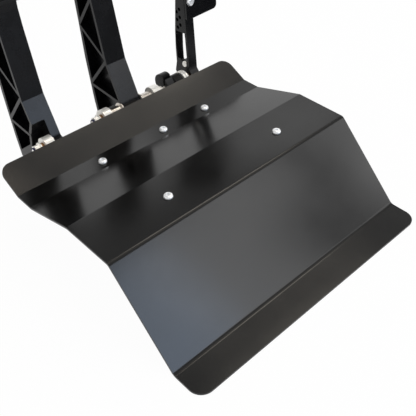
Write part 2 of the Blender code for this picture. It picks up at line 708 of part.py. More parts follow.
def pivot_bolt(name, head_x, tip_x, flange_radius, head_radius):
    """Add a flanged pivot bolt along X with its head on the right."""
    flange = BOLT_FLANGE
    head = flange + BOLT_HEAD_HEIGHT
    profile = [(0.0, head), (head_radius * 0.9, head), (head_radius, head * 0.93), (head_radius, flange),
               (flange_radius, flange), (flange_radius, 0.0), (PIVOT_PIN, 0.0), (PIVOT_PIN, tip_x - head_x),
               (0.0, tip_x - head_x)]
    add_part(name, turned(name, profile, facing(head_x, PIVOT_Y, PIVOT_Z, (1, 0, 0)), ROUND_STEPS), ZINC)


def lock_nut(name, right_x):
    """Add a flanged lock nut on a pivot bolt's left end, and its nylon collar; return the collar's end."""
    seam = right_x - BOLT_FLANGE
    low = seam - LOCK_NUT_HEIGHT
    nut = add_part(name, ring(name, (seam, right_x), FLANGE_RADIUS, PIVOT_PIN + GAP), ZINC)
    body = x_rods("nut_body", [(low, seam + GAP)], hex_radius(LOCK_NUT_FLAT), PIVOT_Y, PIVOT_Z, 6)
    combine(nut, body, "UNION")
    cut(nut, [x_rods("nut_bore", [(low - GAP, right_x + GAP)], PIVOT_PIN + GAP, PIVOT_Y, PIVOT_Z)])
    end = low - GAP - INSERT_HEIGHT
    collar = ring(f"{name}_collar", (end, low - GAP), INSERT_RADIUS, PIVOT_PIN + GAP)
    add_part(f"{name}_collar", collar, BLUE_NYLON)
    return end


def make_pivots():
    """Add the brake and clutch pivot bolts, their nuts and the brake's spacer tubes."""
    left = BRAKE_X - BRAKE_EAR_OFFSET - EAR_THICKNESS / 2.0
    right = BRAKE_X + BRAKE_EAR_OFFSET + EAR_THICKNESS / 2.0
    tip = lock_nut("brake_pivot_nut", left - BUSH_PROUD - GAP)
    pivot_bolt("brake_pivot_bolt", right + GAP, tip, FLANGE_RADIUS, BOLT_HEAD)
    inner = BRAKE_EAR_OFFSET - EAR_THICKNESS / 2.0 - GAP
    outer = ARM_WIDTH / 2.0 + GAP
    bore = PIVOT_PIN + GAP
    length = inner - outer
    profile = [(bore, length), (SPACER_RADIUS, length), (SPACER_RADIUS, SPACER_FLANGE_THICKNESS),
               (SPACER_FLANGE, SPACER_FLANGE_THICKNESS), (SPACER_FLANGE, 0.0), (bore, 0.0), (bore, length)]
    for name, side in (("brake_spacer_left", -1), ("brake_spacer_right", 1)):
        place = facing(BRAKE_X + side * outer, PIVOT_Y, PIVOT_Z, (side, 0, 0))
        add_part(name, turned(name, profile, place, ROUND_STEPS), STEEL)
    tip = lock_nut("clutch_pivot_nut", clutch_ear_x() - EAR_THICKNESS / 2.0 - BUSH_PROUD - GAP)
    pivot_bolt("clutch_pivot_bolt", clutch_head_x(), tip, CLUTCH_BOLT_FLANGE, CLUTCH_BOLT_HEAD)


def clutch_head_x():
    """Return where the clutch bolt's flange seats, on the bush inside the bore of the arm's cheek."""
    return CLUTCH_X + ARM_WIDTH / 2.0 - BOLT_HEAD_HEIGHT - BOLT_FLANGE


# Clutch and brake pedals
def arm_points():
    """Return the front and rear lines of a pedal arm in (y, z), from the bottom up."""
    return [list(points) + [(points[-1][0], ARM_TOP)] for points in (ARM_FRONT, ARM_REAR)]


def eye_place(lead):
    """Return where the lever's lower eye stands at rest, turned back from straight down by its lead."""
    return PIVOT_Y + LEVER * math.sin(lead), PIVOT_Z - LEVER * math.cos(lead)


def arm_outline(lead):
    """Return the side outline of a pedal arm: front face, pivot boss, lower eye and rear flange."""
    front, rear = arm_points()
    eye = eye_place(lead)
    boss = arc((PIVOT_Y, PIVOT_Z), BOSS_RADIUS, 150.0, 190.0, 4)
    foot = arc(eye, EYE_RADIUS, 190.0, 275.0, 8)
    return list(reversed(front)) + boss + foot + rear


def along(points, height):
    """Return the point of a polyline at a height."""
    for (y0, z0), (y1, z1) in zip(points, points[1:]):
        if z0 <= height <= z1:
            return y0 + (y1 - y0) * (height - z0) / (z1 - z0), height
    return points[-1]


def arm_pockets(centre_x, kept_right):
    """Return the pockets between the ribs on both sides of the web, less the lowest on the right."""
    front, rear = arm_points()
    fronts = [along(front, z) for z in TRUSS_FRONT]
    rears = [along(rear, z) for z in TRUSS_REAR]
    rib = RIB / 2.0
    shapes = [([fronts[0], rears[1], rears[0]], [rib, FLANGE, FLANGE])]
    for index in range(len(fronts) - 1):
        shapes.append(([fronts[index], fronts[index + 1], rears[index + 1]], [FLANGE, rib, rib]))
        shapes.append(([rears[index + 1], fronts[index + 1], rears[index + 2]], [rib, rib, FLANGE]))
    cutters = []
    for side, first in ((-1.0, 0), (1.0, kept_right)):
        inner = centre_x + side * ARM_WEB / 2.0
        outer = centre_x + side * (ARM_WIDTH / 2.0 + GAP)
        for corners, distances in shapes[first:]:
            outline = inset(corners, distances)
            cutters.append(extruded("pocket", outline, min(inner, outer), max(inner, outer), SIDE))
    return joined("pockets", cutters)


def joined(name, meshes):
    """Return one mesh that holds several separate ones."""
    bm = bmesh.new()
    for mesh in meshes:
        bm.from_mesh(mesh)
    return mesh_from(bm, name)


def make_arm(name, centre_x, lead, eye_bore, axis, kept_right=0):
    """Add a pedal arm with its pockets, pivot bore, lower eye bore and pad screw holes."""
    half = ARM_WIDTH / 2.0
    blank = extruded(name, arm_outline(lead), centre_x - half, centre_x + half, SIDE)
    arm = add_part(name, blank, ANODISED, axis)
    eye_y, eye_z = eye_place(lead)
    span = [(centre_x - half - GAP, centre_x + half + GAP)]
    screws = [((x, y - GAP, z), (x, y + PAD_SCREW_DEPTH + GAP, z)) for x, y, z in pad_screw_places(centre_x)]
    cut(arm, [arm_pockets(centre_x, kept_right),
              x_rods("pivot_bore", span, BUSH_RADIUS + GAP, PIVOT_Y, PIVOT_Z),
              x_rods("eye_bore", span, eye_bore, eye_y, eye_z),
              rods("pad_screw_holes", screws, BASE_SCREW_SHANK + GAP, SCREW_STEPS)])
    return arm


def pad_screw_places(centre_x):
    """Return where the two pad screws enter the arm's front face."""
    front = arm_points()[0][-1][0]
    middle = (PAD_BOTTOM + ARM_TOP) / 2.0
    return [(centre_x, front, middle + side * PAD_SCREW_PITCH / 2.0) for side in (-1.0, 1.0)]


def make_pad(name, centre_x, shift, axis):
    """Add a pad with grip ribs across its face and two wells for its screws."""
    seat = arm_points()[0][-1][0] - GAP
    face = seat - PAD_THICKNESS
    pitch = (PAD_TOP - PAD_BOTTOM) / PAD_RIBS
    outline = [(seat, PAD_TOP), (seat, PAD_BOTTOM)]
    for rib in range(PAD_RIBS):
        low = PAD_BOTTOM + rib * pitch
        outline += [(face, low), (face, low + pitch * 0.5), (face + PAD_RIB, low + pitch * 0.6),
                    (face + PAD_RIB, low + pitch * 0.9)]
    outline.append((face + PAD_RIB, PAD_TOP))
    middle = centre_x + shift
    pad = add_part(name, extruded(name, outline, middle - PAD_WIDTH / 2.0, middle + PAD_WIDTH / 2.0, SIDE),
                   RUBBER, axis)
    sink = face + PAD_RIB + BASE_SCREW_HEAD_HEIGHT + GAP
    through = [((x, face - GAP, z), (x, y + GAP, z)) for x, y, z in pad_screw_places(centre_x)]
    wells = [((x, face - GAP, z), (x, sink, z)) for x, y, z in pad_screw_places(centre_x)]
    cut(pad, [rods("pad_holes", through, BASE_SCREW_SHANK + GAP, SCREW_STEPS),
              rods("pad_wells", wells, BASE_SCREW_HEAD + GAP, SCREW_STEPS)])


def make_brake():
    """Add the brake pedal and the balance bar through its lower eye."""
    axis = add_axis("brake_axis", (BRAKE_X, PIVOT_Y, PIVOT_Z))
    make_arm("brake_arm", BRAKE_X, BRAKE_LEAD, BAR_RADIUS + GAP, axis)
    half = ARM_WIDTH / 2.0
    bush = ring("brake_arm_bush", (BRAKE_X - half, BRAKE_X + half), BUSH_RADIUS, PIVOT_PIN + GAP)
    add_part("brake_arm_bush", bush, BRONZE, axis)
    make_pad("brake_pad", BRAKE_X, 0.0, axis)
    eye_y, eye_z = eye_place(BRAKE_LEAD)
    bar_axis = add_axis("balance_bar_axis", (BRAKE_X, eye_y, eye_z))
    bar = x_rods("balance_bar", [(BRAKE_X - BAR_HALF, BRAKE_X + BAR_HALF)], BAR_RADIUS, eye_y, eye_z)
    add_part("balance_bar", bar, STEEL, bar_axis)


def make_clutch():
    """Add the clutch pedal, notched at its lower left for the bearing ear."""
    axis = add_axis("clutch_axis", (CLUTCH_X, PIVOT_Y, PIVOT_Z))
    half = ARM_WIDTH / 2.0
    arm = make_arm("clutch_arm", CLUTCH_X, CLUTCH_LEAD, CLEVIS_PIN + GAP, axis, NOTCH_POCKET_COUNT)
    cheek_left = CLUTCH_X + half - CHEEK
    eye_y, eye_z = eye_place(CLUTCH_LEAD)
    rear_low, front_top = NOTCH_EDGE[0], NOTCH_EDGE[-1]
    rim = [(y + RIB, z + RIB / 2.0) for y, z in reversed(NOTCH_EDGE)]
    inside = [(y - RIB, z - RIB / 2.0) for y, z in NOTCH_EDGE]
    wall = extruded("notch_wall", inside + rim, CLUTCH_X - half + GAP, CLUTCH_X, SIDE)
    opening = [(0.0, 0.0), (rear_low[0], 0.0)] + list(NOTCH_EDGE) + [(0.0, front_top[1])]
    notch = extruded("notch", opening, CLUTCH_X - half - GAP, cheek_left, SIDE)
    combine(arm, wall, "UNION")
    cut(arm, [notch])
    bush = ring("clutch_arm_bush", (cheek_left, clutch_head_x() - GAP), BUSH_RADIUS, PIVOT_PIN + GAP)
    add_part("clutch_arm_bush", bush, BRONZE, axis)
    make_pad("clutch_pad", CLUTCH_X, CLUTCH_PAD_SHIFT, axis)
    pin_end = CLUTCH_ROD_X + CLEVIS_WIDTH / 2.0 + BOLT_FLANGE
    pin = x_rods("clutch_clevis_pin", [(cheek_left, pin_end)], CLEVIS_PIN, eye_y, eye_z)
    add_part("clutch_clevis_pin", pin, STEEL, axis)


# Push rods and pistons
def make_link(prefix, suffix, x, eye, hole):
    """Add a clevis block, its push rod and the piston that they drive, all sliding along Y."""
    eye_y = eye[0]
    axis = add_axis(f"{prefix}_slide_axis{suffix}", (x, eye_y, ROD_Z))
    width = CLEVIS_WIDTH / 2.0
    front = eye_y - CLEVIS_LENGTH + CLEVIS_HEIGHT / 2.0
    outline = [(front, ROD_Z + CLEVIS_HEIGHT / 2.0)]
    outline += [(front, ROD_Z - CLEVIS_HEIGHT / 2.0)]
    outline += arc((eye_y, ROD_Z), CLEVIS_HEIGHT / 2.0, -90.0, 90.0, 10)
    clevis = add_part(f"{prefix}_clevis{suffix}",
                      extruded("clevis", outline, x - width, x + width, SIDE), STEEL, axis)
    rod_rear = front + ROD_RADIUS
    socket_ends = ((x, front - GAP, ROD_Z), (x, rod_rear + GAP, ROD_Z))
    cut(clevis, [x_rods("clevis_eye", [(x - width - GAP, x + width + GAP)], hole, eye_y, ROD_Z),
                 rods("rod_socket", [socket_ends], ROD_RADIUS + GAP)])
    piston_front = PISTON_REAR - PISTON_LENGTH
    dimple = PISTON_REAR - ROD_RADIUS * 2.0
    rod = rods("rod", [((x, dimple + GAP, ROD_Z), (x, rod_rear, ROD_Z))], ROD_RADIUS)
    add_part(f"{prefix}_pushrod{suffix}", rod, STEEL, axis)
    piston = rods("piston", [((x, piston_front, ROD_Z), (x, PISTON_REAR, ROD_Z))], BORE_RADIUS - GAP)
    cut(add_part(f"{prefix}_piston{suffix}", piston, ALUMINIUM, axis),
        [rods("dimple", [((x, dimple, ROD_Z), (x, PISTON_REAR + GAP, ROD_Z))], ROD_RADIUS + GAP)])


def make_links():
    """Add the two brake push rods on the balance bar and the clutch push rod on its pin."""
    brake_eye = eye_place(BRAKE_LEAD)
    make_link("brake", "_left", CYLINDER_X[0], brake_eye, BAR_RADIUS + LINK_CLEARANCE)
    make_link("brake", "_right", CYLINDER_X[1], brake_eye, BAR_RADIUS + LINK_CLEARANCE)
    make_link("clutch", "", CYLINDER_X[2], eye_place(CLUTCH_LEAD), CLEVIS_PIN + LINK_CLEARANCE)


# Throttle
def throttle_outline():
    """Return the side outline of the throttle arm: upright bar, pivot boss and cable lever."""
    lever_z = PIVOT_Z - THROTTLE_LEVER
    tip = arc((PIVOT_Y, lever_z), BOSS_RADIUS * 0.6, 180.0, 360.0, 8)
    boss = arc((PIVOT_Y, PIVOT_Z), BOSS_RADIUS, 170.0, 190.0, 2)
    return [(THROTTLE_FRONT, THROTTLE_TOP), (THROTTLE_FRONT, PIVOT_Z + BOSS_RADIUS)] + boss + tip + [
        (PIVOT_Y + BOSS_RADIUS, PIVOT_Z - BOSS_RADIUS), *THROTTLE_REAR]


def make_throttle():
    """Add the throttle arm, its pad, and the block, pin, discs and return spring it turns on."""
    axis = add_axis("throttle_axis", (THROTTLE_X, PIVOT_Y, PIVOT_Z))
    half = THROTTLE_WIDTH / 2.0
    low, high = THROTTLE_X - half, THROTTLE_X + half
    blank = extruded("throttle_arm", throttle_outline(), low, high, SIDE)
    arm = add_part("throttle_arm", blank, ANODISED, axis)
    slot_front = THROTTLE_FRONT + SLOT_FRONT_BAR
    bar_rear = [along(THROTTLE_REAR, z) for z in (SLOT_LOW, SLOT_MIDDLE, SLOT_HIGH)]
    slot_rear = [(y - SLOT_REAR_BAR, z) for y, z in bar_rear]
    slot = rounded([(slot_front, SLOT_LOW), *slot_rear, (slot_front, SLOT_HIGH)], SLOT_CORNER, steps=4)
    boss_rear = PIVOT_Y + BOSS_RADIUS
    beyond = THROTTLE_REAR[0][0] + GAP
    relief = [(slot_front, SLOT_LOW), (boss_rear, SLOT_LOW), (boss_rear, PIVOT_Z + THROTTLE_HEEL),
              (beyond, PIVOT_Z + THROTTLE_HEEL), (beyond, SLOT_HIGH), (slot_front, SLOT_HIGH)]
    prong_right = low + SLOT_REAR_WIDTH - PRONG_EDGE
    bevel = [(low - GAP, slot_front + GAP), (prong_right, slot_front + GAP), (prong_right, slot_rear[-1][0]),
             (low - GAP, bar_rear[-1][0])]
    trim = []
    for row in range(TRIM_HOLE_ROWS):
        z = TRIM_HOLE_LOW + row * TRIM_HOLE_PITCH
        for side, lift in ((0.0, 0.0), (TRIM_HOLE_SPREAD, TRIM_HOLE_RISE)):
            trim.append((slot_front + TRIM_HOLE_INSET + side, z + lift))
    holes = [((low - GAP, y, z), (high + GAP, y, z)) for y, z in trim]
    eye = x_rods("cable_eye", [(low - GAP, high + GAP)], ROD_RADIUS * 0.8, PIVOT_Y, PIVOT_Z - THROTTLE_LEVER)
    screws = [((x, y - GAP, z), (x, y + PAD_SCREW_DEPTH + GAP, z)) for x, y, z in throttle_screw_places()]
    cut(arm, [extruded("throttle_slot", slot, low - GAP, high + GAP, SIDE),
              extruded("throttle_relief", relief, low + SLOT_REAR_WIDTH, high + GAP, SIDE),
              extruded("prong_bevel", bevel, SLOT_LOW + SLOT_CORNER, SLOT_HIGH + PRONG_RISE, PLAN),
              rods("trim_holes", holes, TRIM_HOLE, SCREW_STEPS),
              x_rods("throttle_bore", [(low - GAP, high + GAP)], BUSH_RADIUS + GAP, PIVOT_Y, PIVOT_Z), eye,
              rods("throttle_screw_holes", screws, BASE_SCREW_SHANK + GAP, SCREW_STEPS)])
    bush = ring("throttle_bush", (low - DISC_STANDOFF, high), BUSH_RADIUS, PIVOT_PIN + GAP)
    add_part("throttle_bush", bush, BRONZE, axis)
    make_throttle_pad(axis, low)
    make_throttle_pivot(low - DISC_STANDOFF, high)
    axis.rotation_euler.x = -THROTTLE_LEAN


def throttle_screw_places():
    """Return where the two pad screws enter the throttle arm's front face."""
    lower = THROTTLE_PAD_BOTTOM + THROTTLE_SCREW_RISE
    return [(THROTTLE_X, THROTTLE_FRONT, z) for z in (lower, lower + PAD_SCREW_PITCH)]


def make_throttle_pad(axis, left):
    """Add the flat throttle pad, offset to the right of its arm, and its two screws."""
    right = left + THROTTLE_PAD_WIDTH
    corner = THROTTLE_PAD_CORNER
    outline = rounded([(left, THROTTLE_PAD_BOTTOM), (right, THROTTLE_PAD_BOTTOM + THROTTLE_PAD_RISE),
                       (right, THROTTLE_PAD_TOP), (left, THROTTLE_PAD_TOP)],
                      [THROTTLE_PAD_NICK, corner, corner, corner])
    seat = THROTTLE_FRONT - RUNNING_GAP
    face = seat - THROTTLE_PAD_THICKNESS
    pad = add_part("throttle_pad", extruded("throttle_pad", outline, -seat, -face, FRONT), ANODISED, axis)
    holes = [((x, face - GAP, z), (x, seat + GAP, z)) for x, y, z in throttle_screw_places()]
    cut(pad, [rods("throttle_pad_holes", holes, BASE_SCREW_SHANK + GAP, SCREW_STEPS)])
    profile = button_profile(SCREW_HEAD, SCREW_HEAD_HEIGHT, BASE_SCREW_SHANK, seat - face + PAD_SCREW_DEPTH)
    for place, (x, y, z) in zip(("lower", "upper"), throttle_screw_places()):
        name = f"throttle_pad_screw_{place}"
        add_part(name, turned(name, profile, facing(x, face - GAP, z, (0, -1, 0))), ZINC, axis)


def block_outline():
    """Return the side outline of the throttle's bearing block: round knuckle and upright body on a foot."""
    low = PIVOT_Y + EAR_FOOT_SHIFT - EAR_FOOT_LENGTH / 2.0
    high = low + EAR_FOOT_LENGTH
    foot_top = BASE_SEAT + EAR_FOOT_HEIGHT
    front = PIVOT_Y - BLOCK_DEPTH / 2.0
    rear = PIVOT_Y + BLOCK_DEPTH / 2.0
    knuckle = arc((PIVOT_Y + KNUCKLE_BACK, PIVOT_Z + KNUCKLE_RISE), KNUCKLE_RADIUS, -30.0, 150.0, ROUND_STEPS)
    foot = [(low, BASE_SEAT), (high, BASE_SEAT), (high, foot_top), (rear, foot_top)]
    body = [(front, PIVOT_Z + KNUCKLE_RISE), (front, foot_top), (low, foot_top)]
    return foot + [(rear, PIVOT_Z - KNUCKLE_BACK)] + knuckle + body


def make_throttle_pivot(bush_left, arm_right):
    """Add the bearing block with the spigot for its spring, its pin, the two bright discs and the spring."""
    right = BLOCK_LEFT + BLOCK_WIDTH
    block = add_part("throttle_block", extruded("throttle_block", block_outline(), BLOCK_LEFT, right, SIDE),
                     ANODISED)
    feet = [((x, y, 0.0), (x, y, 2 * BASE_SEAT + EAR_FOOT_HEIGHT))
            for x, y in ear_screw_places() if BLOCK_LEFT < x < right]
    slit = boxes("clamp_slit", [((BLOCK_LEFT - GAP, PIVOT_Y - BLOCK_SLOT / 2.0, PIVOT_Z),
                                 (right + GAP, PIVOT_Y + BLOCK_SLOT / 2.0, BLOCK_TOP + GAP))])
    spigot_end = bush_left - 2 * (DISC_THICKNESS + GAP) - RUNNING_GAP
    spigot_radius = SPRING_RADIUS * math.cos(math.pi / SPRING_POINTS) - SPRING_WIRE - GAP
    spigot = x_rods("spigot", [(right - GAP, spigot_end)], spigot_radius, PIVOT_Y, PIVOT_Z)
    combine(block, spigot, "UNION")
    pin_span = [(BLOCK_LEFT - GAP, spigot_end + GAP)]
    cut(block, [x_rods("pin_bore", pin_span, PIVOT_PIN + GAP, PIVOT_Y, PIVOT_Z), slit,
                rods("block_foot_holes", feet, BASE_SCREW_SHANK + GAP, SCREW_STEPS)])
    disc_right = bush_left - GAP
    for place in ("right", "left"):
        disc_left = disc_right - DISC_THICKNESS
        name = f"throttle_disc_{place}"
        add_part(name, ring(name, (disc_left, disc_right), DISC_RADIUS, PIVOT_PIN + GAP), ZINC)
        disc_right = disc_left - GAP
    profile = cap_profile(BOLT_HEAD, BOLT_FLANGE * 2.0, PIVOT_PIN, arm_right + GAP - BLOCK_LEFT)
    pin = turned("throttle_pin", profile, facing(arm_right + GAP, PIVOT_Y, PIVOT_Z, (1, 0, 0)), ROUND_STEPS)
    add_part("throttle_pin", pin, STEEL)
    make_return_spring(right, disc_right)


def make_return_spring(low, high):
    """Wind the torsion spring round the pin between the block and the discs, with a leg at each end."""
    middle = (low + high) / 2.0
    start_x = middle - SPRING_PITCH * (SPRING_CURLS + 0.5) / 2.0
    points = [Vector((start_x, PIVOT_Y + SPRING_RADIUS, PIVOT_Z - SPRING_LEG))]
    for step in range(SPRING_CURLS * SPRING_POINTS + SPRING_POINTS // 2 + 1):
        turn = 2.0 * math.pi * step / SPRING_POINTS
        x = start_x + SPRING_PITCH * step / SPRING_POINTS
        around = Vector((0.0, SPRING_RADIUS * math.cos(turn), SPRING_RADIUS * math.sin(turn)))
        points.append(Vector((x, PIVOT_Y, PIVOT_Z)) + around)
    points.append(Vector((points[-1].x, PIVOT_Y - SPRING_RADIUS, PIVOT_Z - SPRING_LEG)))
    apart = SPRING_POINTS // 2
    least = min((a - b).length for i, a in enumerate(points) for b in points[i + apart:])
    print("least gap between turns of the return spring, mm:", round((least - 2 * SPRING_WIRE) * 1000, 2))
    curve = bpy.data.curves.new("throttle_return_spring", "CURVE")
    curve.dimensions = "3D"
    curve.bevel_depth = SPRING_WIRE
    curve.bevel_resolution = 1
    curve.use_fill_caps = True
    spline = curve.splines.new("POLY")
    spline.points.add(len(points) - 1)
    for target, point in zip(spline.points, points):
        target.co = (*point, 1.0)
    holder = bpy.data.objects.new("spring_path", curve)
    bpy.context.scene.collection.objects.link(holder)
    mesh = bpy.data.meshes.new_from_object(holder.evaluated_get(bpy.context.evaluated_depsgraph_get()))
    bpy.data.objects.remove(holder)
    bm = bmesh.new()
    bm.from_mesh(mesh)
    bmesh.ops.remove_doubles(bm, verts=bm.verts[:], dist=WELD)
    add_part("throttle_return_spring", mesh_from(bm, "throttle_return_spring"), SPRING_STEEL)


def main():
    """Build every piece of the pedal box."""
    make_base()
    make_bracket()
    make_cylinders()
    make_heel_plate()
    make_heel_fasteners()
    make_ears()
    make_pivots()
    make_brake()
    make_clutch()
    make_links()
    make_throttle()


main()
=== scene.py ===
"""Looks of a floor pedal box seen over its folded heel plate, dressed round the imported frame."""
import json
import logging
import math
from dataclasses import dataclass, field, replace
from enum import Enum
from functools import cache
from typing import Any, Iterable, Optional, Sequence

import bmesh
import bpy
import numpy as np
from bmesh.types import BMesh, BMVert
from bpy.types import Curve, Material, Mesh, NodeSocket, Object
from mathutils import Matrix, Vector


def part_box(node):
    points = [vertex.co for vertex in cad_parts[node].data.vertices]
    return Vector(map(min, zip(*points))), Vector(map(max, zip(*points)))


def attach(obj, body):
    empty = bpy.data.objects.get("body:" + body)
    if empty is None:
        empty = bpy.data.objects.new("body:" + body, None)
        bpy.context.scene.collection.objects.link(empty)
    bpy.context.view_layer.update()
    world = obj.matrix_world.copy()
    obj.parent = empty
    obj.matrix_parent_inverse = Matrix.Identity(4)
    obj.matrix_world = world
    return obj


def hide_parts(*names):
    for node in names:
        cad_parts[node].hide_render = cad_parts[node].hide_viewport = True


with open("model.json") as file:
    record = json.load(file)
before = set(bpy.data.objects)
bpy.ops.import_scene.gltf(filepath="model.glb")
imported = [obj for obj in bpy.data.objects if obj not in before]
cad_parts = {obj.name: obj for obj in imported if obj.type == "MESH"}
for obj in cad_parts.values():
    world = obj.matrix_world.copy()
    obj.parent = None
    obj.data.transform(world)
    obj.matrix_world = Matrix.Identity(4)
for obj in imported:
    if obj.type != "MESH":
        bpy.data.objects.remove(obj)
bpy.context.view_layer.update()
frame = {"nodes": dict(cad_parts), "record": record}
LOG = logging.getLogger("pedal_box")
MM = 0.001
WELD = 0.002 * MM
FLAT_ANGLE = math.radians(0.6)
EDGE_SEGMENTS = 3
Point = tuple[float, float]
Colour = Place = Station = tuple[float, float, float]
WHITE: Colour = (1.0, 1.0, 1.0)
WARM: Colour = (1.0, 0.93, 0.80)


class Body(Enum):
    """Bodies of the frame that pieces ride on."""

    ROOT = "root"
    BRAKE = "brake_pedal"
    BAR = "balance_bar"
    ROD_LEFT = "brake_rod_left"
    ROD_RIGHT = "brake_rod_right"
    CLUTCH = "clutch_pedal"
    CLUTCH_ROD = "clutch_rod"
    THROTTLE = "throttle_pedal"


class Slot(Enum):
    """Material slots of the record."""

    POWDER_COAT = "black_powder_coat"
    ANODISED = "black_anodised"
    ZINC = "bright_zinc"
    SCREW = "zinc_screw"
    STEEL = "plain_steel"
    ALUMINIUM = "plain_aluminium"
    BRONZE = "oiled_bronze"
    NYLON = "blue_nylon"
    RUBBER = "black_rubber"
    SPRING = "spring_steel"


class Value:
    """A shader socket that carries a number, with Python operators that add Math nodes."""

    def __init__(self, graph: "Graph", socket: Optional[NodeSocket]) -> None:
        """Wrap an output socket of a graph."""
        self.graph = graph
        self.socket = socket

    def _math(self, operation: str, left: Any, right: Any) -> "Value":
        """Add one Math node and return its result."""
        return self.graph.node("ShaderNodeMath", {"operation": operation}, {0: left, 1: right})

    def __add__(self, other: Any) -> "Value":
        """Return self + other."""
        return self._math("ADD", self, other)

    def __sub__(self, other: Any) -> "Value":
        """Return self - other."""
        return self._math("SUBTRACT", self, other)

    def __mul__(self, other: Any) -> "Value":
        """Return self * other."""
        return self._math("MULTIPLY", self, other)

    def __rsub__(self, other: Any) -> "Value":
        """Return other - self."""
        return self._math("SUBTRACT", other, self)

    def or_more(self, other: Any) -> "Value":
        """Return the larger of self and other."""
        return self._math("MAXIMUM", self, other)

    __radd__ = __add__
    __rmul__ = __mul__


class Graph:
    """The node tree of one material or of the world."""

    def __init__(self, tree: bpy.types.NodeTree) -> None:
        """Start from an empty tree."""
        self.tree = tree
        self.tree.nodes.clear()

    def node(self, kind: str, settings: Optional[dict[str, Any]] = None,
             inputs: Optional[dict[Any, Any]] = None, output: Any = 0) -> Value:
        """Add a node, set it up and feed its sockets.

        Args:
            kind: The node's type.
            settings: Attributes of the node; "stops" fills a colour ramp.
            inputs: Socket names or indices, with numbers, colours or links.
            output: Name or index of the output to return.

        Returns:
            The chosen output.
        """
        made = self.tree.nodes.new(kind)
        for key, setting in (settings or {}).items():
            if key == "stops":
                self._fill_ramp(made.color_ramp, setting)
            else:
                setattr(made, key, setting)
        for key, value in (inputs or {}).items():
            self.feed(made.inputs[key], value)
        return Value(self, made.outputs[output] if made.outputs else None)

    def feed(self, socket: NodeSocket, value: Any) -> None:
        """Link a value to a socket, or set the socket's own constant.

        Args:
            socket: The input to feed.
            value: A link, a number, a vector or a colour.
        """
        if isinstance(value, Value):
            self.tree.links.new(value.socket, socket)
        elif isinstance(value, tuple) and len(value) == 3 and socket.type == "RGBA":
            socket.default_value = (*value, 1.0)
        else:
            socket.default_value = value

    @staticmethod
    def _fill_ramp(ramp: bpy.types.ColorRamp, stops: Sequence[Point]) -> None:
        """Set a ramp's stops.

        Args:
            ramp: The ramp of a node.
            stops: Pairs of place and grey level.
        """
        while len(ramp.elements) > 1:
            ramp.elements.remove(ramp.elements[-1])
        for index, (place, level) in enumerate(stops):
            stop = ramp.elements[0] if index == 0 else ramp.elements.new(place)
            stop.position = place
            stop.color = (level, level, level, 1.0)

    def place(self) -> Value:
        """Return the surface point in the object's own metres."""
        return self.node("ShaderNodeTexCoord", output="Object")

    def stretched(self, scale: Place) -> Value:
        """Return the surface point scaled along each axis."""
        return self.node("ShaderNodeMapping", {"vector_type": "POINT"},
                         {"Vector": self.place(), "Scale": scale})

    def noise(self, size: float, detail: float, rough: float, at: Optional[Value] = None) -> Value:
        """Return soft noise from 0 to 1 whose features measure about a size in metres."""
        return self.node("ShaderNodeTexNoise", {"noise_dimensions": "3D"}, {
            "Vector": at or self.place(), "Scale": 1.0 / size, "Detail": detail, "Roughness": rough})

    def ramp(self, value: Value, stops: Sequence[Point]) -> Value:
        """Return a value passed through grey stops."""
        return self.node("ShaderNodeValToRGB", {"stops": stops}, {"Fac": value})

    def mix(self, factor: Any, first: Any, second: Any) -> Value:
        """Return a blend of two colours."""
        return self.node("ShaderNodeMix", {"data_type": "RGBA"}, {0: factor, 6: first, 7: second}, output=2)

    def bump(self, height: Value, strength: float, distance: float) -> Value:
        """Return a normal that follows a height."""
        return self.node("ShaderNodeBump", {}, {"Strength": strength, "Distance": distance, "Height": height})

    def surface(self, shader: Value) -> None:
        """Make a shader the material's surface."""
        self.node("ShaderNodeOutputMaterial", {}, {"Surface": shader})


def blank_material(name: str) -> tuple[Material, Graph]:
    """Make a material with no nodes yet.

    Args:
        name: The material's name.

    Returns:
        The material and its graph.
    """
    material = bpy.data.materials.new(name)
    material.use_nodes = True
    return material, Graph(material.node_tree)


@dataclass(frozen=True)
class Finish:
    """A surface finish: two shades that mix over the surface, a grain and the shader's constants."""

    name: str
    shade: Colour
    second: Colour
    roughness: float
    metallic: float = 0.0
    rough_swing: float = 0.10
    grain_swing: float = 0.8
    patch: float = 30 * MM
    patch_detail: Point = (4.0, 0.6)
    patch_stops: tuple[Point, ...] = ((0.35, 0.0), (0.68, 1.0))
    grain: float = 0.6 * MM
    grain_detail: Point = (2.0, 0.5)
    grain_depth: float = 0.02 * MM
    grain_strength: float = 0.3
    stretch: Place = (1.0, 1.0, 1.0)
    specular: float = 0.5
    speck: float = 0.0
    speck_size: float = 1.7
    speck_shade: Colour = (0.2, 0.2, 0.2)

    def build(self) -> Material:
        """Make the finish's node material.

        Returns:
            The material.
        """
        material, graph = blank_material(self.name)
        patches = graph.ramp(graph.noise(self.patch, *self.patch_detail), self.patch_stops)
        grain = graph.noise(self.grain, *self.grain_detail, graph.stretched(self.stretch))
        colour = graph.mix(patches, self.shade, self.second)
        if self.speck > 0.0:
            spots = graph.noise(self.grain * self.speck_size, *self.grain_detail)
            specks = graph.ramp(spots, [(1.0 - self.speck, 0.0), (1.0, 1.0)])
            colour = graph.mix(specks, colour, self.speck_shade)
        swing = self.rough_swing
        rough = self.roughness + (patches - 0.5) * swing + (grain - 0.5) * (swing * self.grain_swing)
        normal = graph.bump(grain, self.grain_strength, self.grain_depth)
        graph.surface(graph.node("ShaderNodeBsdfPrincipled", {}, {
            "Base Color": colour, "Roughness": rough, "Normal": normal, "Metallic": self.metallic,
            "Specular IOR Level": self.specular}))
        return material


